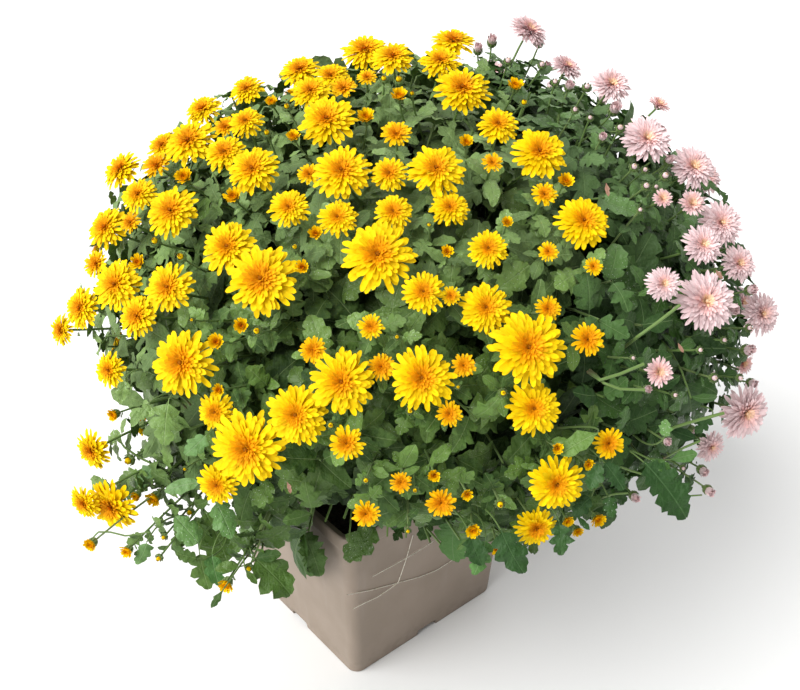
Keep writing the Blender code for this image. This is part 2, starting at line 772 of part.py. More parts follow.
def tube_rings(bm, path, radii, sides, ending=None):
    """Return a ring of points for each point of a path, and the frame of the last ring."""
    rings = []
    normal = (path[1] - path[0]).orthogonal().normalized()
    for at, point in enumerate(path):
        before = path[max(at - 1, 0)]
        after = path[min(at + 1, len(path) - 1)]
        along = (after - before).normalized()
        if ending is not None and at == len(path) - 1:
            along = ending
        normal = (normal - along * normal.dot(along)).normalized()
        side = along.cross(normal)
        frame = Matrix((normal, side, along)).transposed().to_4x4()
        frame.translation = point
        rings.append(polar_ring(bm, sides, radii[at], 0.0, frame=frame))
    return rings, frame


def make_tube(name, path, radii, sides, material, ending=None):
    """Model a bent tapering stem through points; a given ending squares its last end to it."""
    bm = bmesh.new()
    rings, _ = tube_rings(bm, path, radii, sides, ending)
    loft(bm, rings)
    bmesh.ops.triangulate(bm, faces=bm.faces)
    return make_object(name, bm, material)


def petal_numbers(flower):
    """Return how many outer and inner petals a flower has."""
    if flower.radius > LARGE_FLOWER:
        return PETALS_LARGE
    return PETALS_SMALL if flower.radius < SMALL_FLOWER else PETALS_MEDIUM


def make_flower(flower, hub, rng, material):
    """Model a flower or a bud in one with its stalk: petals in two tiers over a calyx."""
    bm = bmesh.new()
    size = flower.radius
    path = stalk_path(flower, hub)
    is_open = flower.stage == "open"
    neck = CALYX_RADIUS if is_open else 0.35 * size
    radii = [STALK_RADIUS] * (len(path) - 1) + [neck]
    rings, frame = tube_rings(bm, path, radii, STALK_SIDES, flower.facing)
    frame.translation = flower.place
    for low, high in zip(rings, rings[1:]):
        bridge(bm, low, high)
    close_ring(bm, list(reversed(rings[0])))
    if is_open:
        outer, inner = petal_numbers(flower)
        tips = polar_ring(
            bm, 2 * outer,
            lambda at: size * (rng.uniform(0.92, 1.0) if at % 2 == 0 else 0.60),
            lambda at: size * (rng.uniform(-0.02, 0.12) if at % 2 == 0 else 0.06), frame=frame,
        )
        bridge(bm, rings[-1], tips)
        if inner:
            upper = polar_ring(
                bm, 2 * inner,
                lambda at: size * (0.58 if at % 2 == 0 else 0.34),
                lambda at: size * (0.32 if at % 2 == 0 else 0.26), frame=frame,
            )
            bridge(bm, tips, upper)
            close_ring(bm, upper, frame @ Vector((0.0, 0.0, 0.24 * size)))
        else:
            close_ring(bm, tips, frame @ Vector((0.0, 0.0, 0.30 * size)))
    elif flower.stage == "half":
        rim = polar_ring(bm, 6, lambda at: size * (1.0 if at % 2 == 0 else 0.78),
                         lambda at: size * (0.45 if at % 2 == 0 else 0.05), frame=frame)
        bridge(bm, rings[-1], rim)
        close_ring(bm, rim, frame @ Vector((0.0, 0.0, 0.35 * size)))
    else:
        rim = polar_ring(bm, 4, size, 0.0, frame=frame)
        bridge(bm, rings[-1], rim)
        close_ring(bm, rim, frame @ Vector((0.0, 0.0, 0.8 * size)))
    return make_object("flower", bm, material)


def spray_name(spray, at):
    """Return a spray's node name."""
    return f"spray_{spray.colour}_{at + 1:02d}"


def make_spray(spray, at, material):
    """Model one spray: a short stem whose stalks carry the flowers and buds."""
    rng = random.Random(SEED * 100 + at)
    foot = spray.hub - spray.axis * STUB_LENGTH
    top = spray.hub + spray.axis * 0.0025
    body = make_tube(spray_name(spray, at), [foot, top], [STUB_RADIUS, KNOT_RADIUS], STALK_SIDES, material)
    flowers = [make_flower(flower, spray.hub, rng, material) for flower in spray.flowers]
    boolean(body, flowers, "UNION", "MANIFOLD")
    keep_largest_body(body)
    return body


def flower_blocks(flower, point, margin):
    """Tell whether a point lies in the space of a flower, with a margin."""
    away = point - flower.place
    height = away.dot(flower.facing)
    if flower.stage != "open":
        return away.length < flower.radius + margin
    rho = math.sqrt(max(0.0, away.length_squared - height * height))
    if rho > flower.radius + margin or height > 0.36 * flower.radius + margin:
        return False
    below = CALYX_DEPTH * flower.radius * (1.0 - min(1.0, rho / flower.radius))
    return height > -below - margin


def distance_to_segment(point, start, end):
    """Return how far a point is from a straight stretch."""
    along = end - start
    share = max(0.0, min(1.0, (point - start).dot(along) / along.length_squared))
    return (point - (start + along * share)).length


def planter_blocks(point, margin):
    """Tell whether a point lies in or too near the planter or the soil."""
    half = RIM_SIDE / 2 + margin
    return max(abs(point.x), abs(point.y)) < half and point.z < PLANTER_HEIGHT + margin


def side_of_plants(point):
    """Return how far a point lies on the pink plant's side of the gap between the plants."""
    return point.dot(PARTING_NORMAL) - PARTING_OFFSET


class Surroundings:
    """What a leaf or a branch must stay clear of: flowers, stalks, branches and the planter."""

    def __init__(self, sprays):
        self.flowers = [f for spray in sprays for f in spray.flowers]
        self.stalks = [line for spray in sprays for line in spray_lines(spray)]
        self.branches = []
        self.leaf_points = []

    def blocked(self, points, margin, colour):
        """Return how many of the points are too near something that they must not touch."""
        middle = sum(points, Vector()) / len(points)
        reach = max((point - middle).length for point in points) + margin + STUB_RADIUS
        flowers = [f for f in self.flowers if (f.place - middle).length < reach + 1.2 * f.radius]
        lines = [(start, end, STUB_RADIUS) for start, end in self.stalks
                 if distance_to_segment(middle, start, end) < reach]
        lines += [(start, end, BRANCH_RADIUS) for start, end, owner in self.branches
                  if owner != colour and distance_to_segment(middle, start, end) < reach]
        count = 0
        for point in points:
            count += (
                planter_blocks(point, margin)
                or any(flower_blocks(flower, point, margin) for flower in flowers)
                or any(distance_to_segment(point, start, end) < radius + margin
                       for start, end, radius in lines)
            )
        return count

    def crowded(self, points):
        """Tell whether a leaf's points come too near those of another leaf."""
        middle = sum(points, Vector()) / len(points)
        near = [p for p in self.leaf_points if (p - middle).length < LEAF_LENGTH + LEAF_SPACING]
        return any((point - other).length < LEAF_SPACING for point in points for other in near)


def leaf_rungs(base, along, normal, length, bend):
    """Return the centre, side direction and normal of each rung of a bent leaf."""
    side = along.cross(normal).normalized()
    rungs = []
    shares = [0.0] + [share for share, _ in LEAF_OUTLINE] + [1.0]
    centre = base
    previous = 0.0
    for share in shares:
        angle = -bend * 0.5 * (share + previous)
        turn = Matrix.Rotation(angle, 3, side)
        centre = centre + (turn @ along) * length * (share - previous)
        facing = Matrix.Rotation(-bend * share, 3, side) @ normal
        rungs.append((centre, side, facing))
        previous = share
    return rungs


def leaf_points(base, along, normal, length, bend):
    """Return points over a leaf, beyond its root, to test what it would touch."""
    rungs = leaf_rungs(base, along, normal, length, bend)
    reaches = [0.0] + [reach * length for _, reach in LEAF_OUTLINE] + [0.0]
    points = []
    for at in range(len(rungs) - 1):
        for step in range(LEAF_PROBES):
            share = (step + 1) / LEAF_PROBES
            centre = rungs[at][0].lerp(rungs[at + 1][0], share)
            reach = reaches[at] + (reaches[at + 1] - reaches[at]) * share
            side = rungs[at][1] * reach
            points += [centre + side * across for across in (-1.0, -0.6, -0.2, 0.2, 0.6, 1.0)]
    return points


def make_leaf(base, along, normal, length, bend, material):
    """Model a lobed leaf as a thin bent blade, thickest at a keel under its middle."""
    bm = bmesh.new()
    left = []
    right = []
    rungs = leaf_rungs(base, along, normal, length, bend)
    for (centre, side, _), (_, reach) in zip(rungs[1:], LEAF_OUTLINE):
        left.append(bm.verts.new(centre - side * reach * length))
        right.append(bm.verts.new(centre + side * reach * length))
    root = bm.verts.new(base)
    tip = bm.verts.new(rungs[-1][0])
    bm.faces.new((root, right[0], left[0]))
    for rung in range(len(left) - 1):
        bm.faces.new((left[rung], right[rung], right[rung + 1]))
        bm.faces.new((left[rung], right[rung + 1], left[rung + 1]))
    bm.faces.new((left[-1], right[-1], tip))
    shares = [0.0] + [share for share, _ in LEAF_OUTLINE]
    at = next(rung for rung, share in enumerate(shares) if share > LEAF_KEEL_AT)
    share = (LEAF_KEEL_AT - shares[at - 1]) / (shares[at] - shares[at - 1])
    keel = bm.verts.new(rungs[at - 1][0].lerp(rungs[at][0], share) - rungs[at][2] * LEAF_KEEL)
    outline = [root] + left + [tip] + list(reversed(right))
    for rung, vert in enumerate(outline):
        bm.faces.new((vert, outline[(rung + 1) % len(outline)], keel))
    return make_object("leaf", bm, material)


def place_leaves(base, axis, count, colour, rng, around, material):
    """Place leaves round a stem, each turned until it is clear of what surrounds it."""
    leaves = []
    first = rng.random() * math.tau
    across = axis.orthogonal().normalized()
    taken = []
    wrong_side = -1.0 if colour == "yellow" else 1.0
    for turn in range(len(LEAF_LIFTS) * LEAF_TURNS):
        if len(leaves) >= count:
            break
        angle = first + math.tau * turn / LEAF_TURNS
        if any(math.cos(angle - other) > LEAVES_APART for other in taken):
            continue
        out = Matrix.Rotation(angle, 3, axis) @ across
        along = (out + LEAF_LIFTS[turn // LEAF_TURNS] * axis).normalized()
        normal = (axis - along * axis.dot(along)).normalized()
        length = LEAF_LENGTH * rng.uniform(*LEAF_SIZES)
        bend = LEAF_BEND * rng.uniform(*LEAF_BENDS)
        points = leaf_points(base, along, normal, length, bend)
        if any(side_of_plants(point) * wrong_side < SIDE_CLEARANCE for point in points):
            continue
        if around.crowded(points) or around.blocked(points, CLEARANCE, colour):
            continue
        leaves.append(make_leaf(base, along, normal, length, bend, material))
        around.leaf_points += points[len(points) // 4:]
        taken.append(angle)
    return leaves


def branch_start(root, foot):
    """Return where the line from a plant's root to a branch's end nears the core's skin."""
    start = scaled(root - DOME_CENTRE, DOME_SIZE)
    step = scaled(foot - root, DOME_SIZE)
    a = step.dot(step)
    b = start.dot(step)
    c = start.dot(start) - BRANCH_START * BRANCH_START
    return root.lerp(foot, (math.sqrt(b * b - a * c) - b) / a)


def branch_path(root, foot, axis, bow=(0.0, 0.0)):
    """Return the points of a branch that leaves a core and ends under a spray.

    The bow moves its middle along the branch and across it, as shares of its span.
    """
    start = branch_start(root, foot)
    span = (foot - start).length
    along = (foot - start).normalized()
    across = along.cross(Vector((0, 0, 1))).normalized()
    middle = 0.5 * (start + foot) - axis * 0.10 * span
    middle += span * (bow[0] * across.cross(along) + bow[1] * across)
    middle.z = max(middle.z, PLANTER_HEIGHT + 0.012)
    return [start, middle, foot]


def clear_branch(root, foot, axis, colour, around):
    """Return the straightest branch that is clear of every flower and stalk."""
    best = None
    for bow in BRANCH_BOWS:
        path = branch_path(root, foot, axis, bow)
        probes = probes_along(list(zip(path, path[1:])), PROBE_STEP)
        probes = [p for p in probes if (p - foot).length > 2 * PROBE_STEP]
        count = around.blocked(probes, BRANCH_RADIUS + SPRAY_MARGIN, colour)
        if best is None or count < best[0]:
            best = (count, path)
        if count == 0:
            break
    return best[1]


def make_core(colour, name, material):
    """Model the dense leafy middle of a plant: its side of a rough dome."""
    rng = random.Random(SEED + len(name))
    bm = bmesh.new()
    bmesh.ops.create_icosphere(bm, subdivisions=2, radius=CORE_SHARE)
    for vert in bm.verts:
        vert.co = dome_point(vert.co, rng.uniform(*CORE_ROUGHNESS))
    side = 1.0 if colour == "pink" else -1.0
    geometry = bm.verts[:] + bm.edges[:] + bm.faces[:]
    place = PARTING_NORMAL * (PARTING_OFFSET + side * SIDE_CLEARANCE) / PARTING_NORMAL.length_squared
    cut = bmesh.ops.bisect_plane(
        bm, geom=geometry, plane_co=place, plane_no=-side * PARTING_NORMAL, clear_outer=True
    )
    rim = [edge for edge in cut["geom_cut"] if isinstance(edge, bmesh.types.BMEdge)]
    bmesh.ops.contextual_create(bm, geom=rim)
    bmesh.ops.triangulate(bm, faces=bm.faces)
    return make_object(name, bm, material)


def core_leaves(core, colour, root, rng, around, material):
    """Place leaves all over a core, which point out and down as a bush's leaves do."""
    corners = [vert.co for vert in core.data.vertices]
    surface = BVHTree.FromPolygons(corners, [face.vertices for face in core.data.polygons])
    wrong_side = -1.0 if colour == "yellow" else 1.0
    leaves = []
    for direction in dome_directions(CORE_LEAVES, CORE_LEAF_LOWEST):
        above = dome_point(direction)
        inward = (root - above).normalized()
        hit = surface.ray_cast(above, inward)[0]
        if hit is None or side_of_plants(hit) * wrong_side < CORE_LEAF_FROM_GAP:
            continue
        start = hit + inward * CORE_LEAF_SUNK
        facing = dome_facing(hit)
        down = (Vector((0.0, 0.0, -1.0)) + facing * facing.z).normalized()
        for _ in range(LEAF_TURNS):
            turn = rng.uniform(-CORE_LEAF_TURN, CORE_LEAF_TURN)
            along = Matrix.Rotation(turn, 3, facing) @ down
            along = (along + rng.uniform(*CORE_LEAF_LIFTS) * facing).normalized()
            normal = (facing - along * facing.dot(along)).normalized()
            length = CORE_LEAF_LENGTH * rng.uniform(*LEAF_SIZES)
            bend = LEAF_BEND * rng.uniform(*LEAF_BENDS)
            points = leaf_points(start, along, normal, length, bend)
            if any(side_of_plants(point) * wrong_side < SIDE_CLEARANCE for point in points):
                continue
            if around.crowded(points) or around.blocked(points, CLEARANCE, colour):
                continue
            leaves.append(make_leaf(start, along, normal, length, bend, material))
            around.leaf_points += points[len(points) // 4:]
            break
    return leaves


def rim_leaves(material, around):
    """Place the leaves that hang over the front rim, each on a stalk from the core."""
    pieces = []
    half = RIM_SIDE / 2 + RIM_LEAF_OUT
    for axis, pixels in (("x", RIM_LEAVES_LEFT), ("y", RIM_LEAVES_RIGHT)):
        for x, y, length in pixels:
            line = sight_line(x, y)
            reach = (-half - getattr(EYE, axis)) / getattr(line, axis)
            middle = EYE + reach * line
            outward = Vector((-1.0, 0.0, 0.0)) if axis == "x" else Vector((0.0, -1.0, 0.0))
            top = middle.copy()
            top.z = PLANTER_HEIGHT + RIM_LEAF_OVER
            top -= outward * RIM_LEAF_BACK
            along = (outward + Vector((0.0, 0.0, 0.25))).normalized()
            normal = (Vector((0, 0, 1)) - along * along.z).normalized()
            points = leaf_points(top, along, normal, length, RIM_LEAF_BEND)
            if around.blocked(points, CLEARANCE, "yellow"):
                continue
            pieces.append(make_leaf(top, along, normal, length, RIM_LEAF_BEND, material))
            around.leaf_points += points
            path = branch_path(YELLOW_ROOT, top + along * 0.002, along)
            pieces.append(make_tube("leaf_stalk", path, LEAF_STALK_RADII, BRANCH_SIDES, material))
    return pieces


def make_foliage(colour, sprays, stems, root, around, material):
    """Model the stems, branches and leaves of one plant, fused in one body."""
    rng = random.Random(SEED + 7)
    name = f"foliage_{colour}"
    body = make_core(colour, name, material)
    pieces = []
    for x, y in stems:
        low = Vector((x, y, SOIL_TOP - HOLE_DEPTH + GAP))
        high = Vector((x, y, SOIL_TOP + 0.012))
        meet = root.lerp(Vector((x, y, root.z)), STEM_MEETS)
        pieces.append(make_tube("stem", [low, high, meet], [STEM_RADIUS] * 3, STEM_SIDES, material))
    if colour == "yellow":
        pieces += rim_leaves(material, around)
    paths = []
    for spray in sprays:
        foot = spray.hub - spray.axis * (STUB_LENGTH + GAP)
        path = clear_branch(root, foot, spray.axis, colour, around)
        around.branches += [(start, end, colour) for start, end in zip(path, path[1:])]
        paths.append(path)
        radii = [BRANCH_RADIUS, BRANCH_RADIUS, STUB_RADIUS]
        pieces.append(make_tube("branch", path, radii, BRANCH_SIDES, material, spray.axis))
    for spray in sprays:
        base = spray.hub - spray.axis * (STUB_LENGTH + GAP + 0.006)
        pieces += place_leaves(base, spray.axis, LEAVES_PER_BRANCH, colour, rng, around, material)
    tips = [spray.hub for spray in sprays]
    shoots = 0
    for direction in dome_directions(SHOOT_CHOICES, SHOOT_LOWEST):
        tip = dome_point(direction, SHOOT_SHARE)
        own_side = side_of_plants(tip) * (1.0 if colour == "pink" else -1.0)
        if own_side < SHOOT_FROM_GAP or shoots >= SHOOTS:
            continue
        if any((tip - other).length < SHOOT_CLEARANCE for other in tips):
            continue
        axis = dome_facing(tip)
        path = branch_path(root, tip, axis)
        probes = probes_along([(path[1], path[2])], PROBE_STEP)
        if around.blocked(probes, CLEARANCE + 0.001, colour):
            continue
        leaves = place_leaves(tip - axis * 0.004, axis, LEAVES_PER_BRANCH, colour, rng, around, material)
        if leaves:
            pieces.append(make_tube("shoot", path, SHOOT_RADII, BRANCH_SIDES, material))
            pieces += leaves
            tips.append(tip)
            shoots += 1
    pieces += core_leaves(body, colour, root, rng, around, material)
    boolean(body, pieces, "UNION", "MANIFOLD")
    keep_largest_body(body)
    return body


def main():
    """Build the planter, the soil, the two plants' foliage and their sprays of flowers."""
    clear_scene()
    petal_yellow = make_material("petal_yellow", YELLOW, 0.6)
    petal_pink = make_material("petal_pink", PINK, 0.6)
    leaf_green = make_material("leaf_green", GREEN, 0.6)
    make_planter(make_material("planter_plastic", TAUPE, 0.55))
    make_soil(make_material("compost", PEAT, 0.95))
    shown = photographed_flowers()
    flowers = spread(shown + hidden_flowers(shown))
    yellow = make_sprays(flowers, MOST_SPRAYS_YELLOW, "yellow")
    pink = make_sprays(flowers, MOST_SPRAYS_PINK, "pink")
    add_behind(yellow + pink, behind_flowers(flowers))
    around = Surroundings(yellow + pink)
    for spray, at in [(s, at) for group in (yellow, pink) for at, s in enumerate(group)]:
        make_spray(spray, at, petal_yellow if spray.colour == "yellow" else petal_pink)
    make_foliage("yellow", yellow, YELLOW_STEMS, YELLOW_ROOT, around, leaf_green)
    make_foliage("pink", pink, PINK_STEMS, PINK_ROOT, around, leaf_green)


main()
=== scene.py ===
"""Pot chrysanthemum: the looks of a yellow and a pink plant that share one square planter.

Metres, +Z up, with the origin at the centre of the planter's underside. Flower heads stand
where the reference photograph shows them: each pixel's line of sight is followed to the dome
that the heads lie on. A seeded rule fills the side that the photograph doesn't show.
"""

import logging
import math
import random
from dataclasses import dataclass, field, replace
from enum import Enum

import bmesh
import bpy
import numpy as np
from mathutils import Matrix, Vector, kdtree


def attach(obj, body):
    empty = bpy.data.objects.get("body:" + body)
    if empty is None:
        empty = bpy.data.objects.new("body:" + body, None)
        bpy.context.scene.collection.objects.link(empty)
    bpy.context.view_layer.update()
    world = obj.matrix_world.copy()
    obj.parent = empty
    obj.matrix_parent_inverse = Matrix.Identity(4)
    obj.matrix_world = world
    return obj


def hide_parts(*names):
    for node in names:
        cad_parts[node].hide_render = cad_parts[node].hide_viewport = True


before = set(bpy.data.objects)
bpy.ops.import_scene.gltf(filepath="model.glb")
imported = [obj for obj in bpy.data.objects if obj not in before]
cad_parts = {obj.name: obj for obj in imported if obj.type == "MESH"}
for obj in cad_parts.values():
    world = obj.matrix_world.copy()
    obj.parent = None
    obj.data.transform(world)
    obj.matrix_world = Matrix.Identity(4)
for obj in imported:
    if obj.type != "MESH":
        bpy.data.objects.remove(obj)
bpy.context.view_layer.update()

LOG = logging.getLogger("chrysanthemum")
UP = Vector((0.0, 0.0, 1.0))
GOLDEN = math.pi * (3.0 - math.sqrt(5.0))
# The three columns of a petal, from edge to edge
ACROSS = np.array([-1.0, 0.0, 1.0])
Array = np.ndarray
Draws = np.random.Generator
Rows = tuple[tuple[float, ...], ...]
Material = bpy.types.Material
Object = bpy.types.Object


class Hue(Enum):
    """The two plants, by the colour of their flowers."""

    YELLOW = "yellow"
    PINK = "pink"


class Stage(Enum):
    """How far a flower has opened."""

    OPEN = "open"
    HALF = "half"
    BUD = "bud"


def rows(text: str) -> Rows:
    """Return the numbers of a table; a comma stands between its rows."""
    return tuple(tuple(float(part) for part in row.split()) for row in text.split(","))


# Flowers in the photograph: x, y and diameter in its pixels. The solids have these too.
SHOWN: dict[tuple[Hue, Stage], Rows] = {
    (Hue.YELLOW, Stage.OPEN): rows("""
        247 90 38, 203 110 40, 223 125 26, 246 122 38, 190 142 56, 163 146 36, 157 164 32,
        225 153 44, 253 170 56, 122 170 46, 139 195 40, 127 214 26, 107 228 48, 172 212 58,
        229 248 60, 262 280 76, 97 264 30, 117 285 56, 169 288 54, 82 308 46, 62 330 34,
        127 308 46, 289 208 44, 183 363 72, 110 370 38, 93 450 44, 113 505 60, 82 518 38,
        248 448 80, 217 420 42, 218 484 46, 287 420 66, 300 71 44, 325 70 40, 311 92 44,
        338 85 30, 327 121 62, 365 52 52, 393 58 46, 367 78 22, 396 135 33, 453 42 46,
        440 62 44, 462 90 60, 498 125 44, 342 172 62, 314 170 26, 388 170 40, 436 170 60,
        447 192 42, 492 163 23, 338 218 42, 392 213 42, 378 256 78, 488 249 42, 539 153 60,
        544 195 28, 583 222 58, 548 252 22, 593 267 20, 495 312 56, 547 312 28, 528 348 80,
        587 340 36, 535 401 58, 422 290 46, 445 293 22, 371 327 28, 315 353 30, 342 382 70,
        378 369 30, 422 378 68, 461 366 26, 448 412 28, 347 443 38, 401 482 24, 441 502 32,
        366 513 30, 556 483 60, 536 527 44, 608 443 34"""),
    (Hue.YELLOW, Stage.HALF): rows("""
        234 193 19, 185 178 20, 137 263 18, 298 267 16, 217 342 18, 242 326 17, 115 414 15,
        92 543 16, 155 497 18, 128 550 15, 227 583 18, 364 117 20, 399 97 18, 466 143 16,
        317 232 16, 515 87 18, 565 182 18, 473 529 17, 497 546 17, 597 518 17, 294 137 15,
        434 475 14, 447 252 14, 219 390 14, 272 103 14"""),
    (Hue.YELLOW, Stage.BUD): rows("""
        155 239 12, 181 257 12, 257 331 12, 129 460 13, 190 512 10, 399 80 12, 503 393 10,
        331 425 10, 500 504 12"""),
    (Hue.PINK, Stage.OPEN): rows("""
        528 32 46, 566 68 36, 611 86 44, 658 106 26, 646 140 54, 692 168 50, 691 204 30,
        720 224 50, 702 245 44, 739 262 40, 663 284 38, 704 302 66, 760 314 46, 658 372 32,
        743 412 60, 710 446 34, 662 199 22"""),
    (Hue.PINK, Stage.HALF): rows("""
        614 110 18, 747 350 18, 731 310 18, 750 290 16, 569 87 14, 492 42 15, 478 50 14,
        669 156 14, 702 470 15, 708 490 15, 634 496 15, 756 389 14"""),
    (Hue.PINK, Stage.BUD): rows("542 65 10, 587 87 11, 646 186 11, 714 378 11"),
}
# Smaller buds of the photograph, which are too small for the solids
SMALL: dict[tuple[Hue, Stage], Rows] = {
    (Hue.YELLOW, Stage.HALF): rows("""
        507 223 13, 467 494 13, 557 448 13, 588 464 13, 577 530 13, 567 520 13, 137 495 12"""),
    (Hue.YELLOW, Stage.BUD): rows("""
        267 133 10, 249 568 10, 287 107 10, 384 79 10, 410 411 9, 524 103 10, 295 247 9,
        366 480 9, 159 558 9, 164 537 8, 415 490 8, 192 320 6, 185 469 6, 397 337 7,
        408 531 7, 458 387 6, 429 225 7, 412 94 8"""),
    (Hue.PINK, Stage.HALF): rows("602 138 13, 666 441 13, 647 389 12"),
    (Hue.PINK, Stage.BUD): rows("""
        508 61 10, 634 167 11, 665 176 12, 740 378 9, 730 298 10, 749 328 9, 555 82 9,
        645 170 9, 656 187 8, 620 128 11, 724 340 8, 683 468 7, 633 358 7, 718 274 10,
        539 44 9, 575 110 9, 590 118 8, 640 210 8, 700 350 8, 675 395 8"""),
}
# Pink flowers that the photograph shows from the side, as they face up and to the right
SIDEWAYS = rows("528 32, 566 68, 658 106")


@dataclass(frozen=True)
class View:
    """The photograph's line of sight, as a pinhole camera."""

    eye: Vector = Vector((-0.5756, -0.7507, 0.9275))
    turn: float = -39.777
    fall: float = 31.244
    focal: float = 1000.0
    size: tuple[int, int] = (800, 690)

    def axes(self) -> tuple[Vector, Vector, Vector]:
        """Return the directions to the right, up and back toward the camera."""
        turn, fall = math.radians(self.turn), math.radians(self.fall)
        back = Vector((math.sin(turn) * math.cos(fall), -math.cos(turn) * math.cos(fall), math.sin(fall)))
        right = Vector((math.cos(turn), math.sin(turn), 0.0))
        return right, right.cross(-back), back

    def ray(self, x: float, y: float) -> Vector:
        """Return the direction of a pixel's line of sight, one metre deep."""
        right, up, back = self.axes()
        across, down = (x - self.size[0] / 2) / self.focal, (y - self.size[1] / 2) / self.focal
        return right * across - up * down - back

    def toward(self, point: Vector) -> Vector:
        """Return the direction from a point to the eye."""
        return (self.eye - point).normalized()

    def pixels(self, points: Array) -> Array:
        """Return the pixel across, the pixel down and the depth of each point."""
        right, up, back = (np.array(axis) for axis in self.axes())
        away = points - np.array(self.eye)
        depth = -(away @ back)
        across = self.size[0] / 2 + self.focal * (away @ right) / depth
        return np.stack([across, self.size[1] / 2 - self.focal * (away @ up) / depth, depth], axis=-1)

    def add_camera(self) -> None:
        """Put the scene's camera where the photograph was taken from."""
        data = bpy.data.cameras.new("camera")
        data.sensor_width = 36.0
        data.lens = self.focal / self.size[0] * data.sensor_width
        camera = add_object("camera", data)
        place = Matrix(self.axes()).transposed().to_4x4()
        place.translation = self.eye
        camera.matrix_world = place
        bpy.context.scene.camera = camera


VIEW = View()


def add_object(name: str, data: bpy.types.ID) -> Object:
    """Return a new object in the scene."""
    made = bpy.data.objects.new(name, data)
    bpy.context.scene.collection.objects.link(made)
    return made


def hand_in(piece: Object, node: str = "") -> Object:
    """Attach a piece to the root body, and hide the solid that it stands for."""
    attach(piece, "root")
    if node:
        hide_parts(node)
    return piece


def scaled(vector: Vector, size: Vector) -> Vector:
    """Divide a vector by sizes along each axis."""
    return Vector((vector.x / size.x, vector.y / size.y, vector.z / size.z))


@dataclass(frozen=True)
class Dome:
    """The rounded surface that the flowers' centres lie on."""

    centre: Vector = Vector((0.0587, -0.0202, 0.4220))
    size: Vector = Vector((0.355, 0.355, 0.237))

    def spot(self, point: Vector) -> Vector:
        """Return a point's direction from the centre; its length is 1 on the dome."""
        return scaled(point - self.centre, self.size)

    def facing(self, point: Vector) -> Vector:
        """Return the outward direction at or near a point."""
        return scaled(self.spot(point), self.size).normalized()

    def to_eye(self, point: Vector) -> float:
        """Return how far the dome at a point turns to the eye: 1 faces it, and below 0 is behind."""
        return self.facing(point).dot(VIEW.toward(point))

    def point(self, direction: Vector, share: float = 1.0) -> Vector:
        """Return the point of the dome, or of a smaller one inside it, in a direction."""
        return self.centre + share * Vector(d * s for d, s in zip(direction, self.size))

    def seen_at(self, x: float, y: float) -> tuple[Vector, float]:
        """Return where a pixel's line of sight meets or passes the dome, and how deep."""
        line = VIEW.ray(x, y)
        start, step = self.spot(VIEW.eye), scaled(line, self.size)
        a, b = step.dot(step), start.dot(step)
        inside = b * b - a * (start.dot(start) - 1.0)
        reach = (-b - math.sqrt(inside)) / a if inside > 0.0 else -b / a
        return VIEW.eye + reach * line, reach

    def directions(self, count: int, lowest: float) -> list[Vector]:
        """Return evenly spread directions from the top down to a lowest height."""
        levels = [1.0 - (at + 0.5) / count * (1.0 - lowest) for at in range(count)]
        out = [math.sqrt(1.0 - level * level) for level in levels]
        return [Vector((out[at] * math.cos(GOLDEN * at), out[at] * math.sin(GOLDEN * at), level))
                for at, level in enumerate(levels)]


DOME = Dome()


@dataclass(frozen=True)
class Flower:
    """One flower or bud: where it stands, where it faces and how big it is."""

    place: Vector
    facing: Vector
    radius: float
    stage: Stage
    hue: Hue

    def base(self) -> Vector:
        """Return the point on the axis where the stalk begins."""
        return self.place - self.facing * (0.30 if self.stage is Stage.OPEN else 0.85) * self.radius

    def around(self, radial: Array, side: Array | float, height: Array | float, angle: Array) -> Array:
        """Return points round the flower's axis.

        Args:
            radial: Their distances out from the axis.
            side: Their distances to the side of that.
            height: Their heights along the axis.
            angle: The angles of the radial directions.

        Returns:
            The points, in the shape that the measures make together.
        """
        x = radial * np.cos(angle) - side * np.sin(angle)
        y = radial * np.sin(angle) + side * np.cos(angle)
        points = np.stack(np.broadcast_arrays(x, y, height), axis=-1)
        across = self.facing.orthogonal().normalized()
        turn = np.array(Matrix((across, self.facing.cross(across), self.facing)))
        return points @ turn + np.array(self.place)


@dataclass
class Spray:
    """The flowers that one short stem carries, which is one node of the solids."""

    node: str
    hue: Hue
    flowers: list[Flower]
    hub: Vector = field(default_factory=Vector)
    axis: Vector = field(default_factory=Vector)

    def stalk(self, flower: Flower) -> Array:
        """Return the points of a flower's bent stalk: a far flower's comes from deeper in the plant."""
        base = flower.base()
        deep = DOME.point(DOME.spot(base).normalized(), 0.74).lerp(self.hub, 0.28) - 0.015 * UP
        away = min(1.0, max(0.0, ((base - self.hub).length - 0.028) / 0.035))
        start = (self.hub - self.axis * 0.002).lerp(deep, 0.9 * away)
        lean = (base - start).normalized() - flower.facing
        middle = 0.5 * (start + base) + 0.30 * (base - start).length * lean
        return bend(start, middle, base + flower.facing * 0.001, 6)


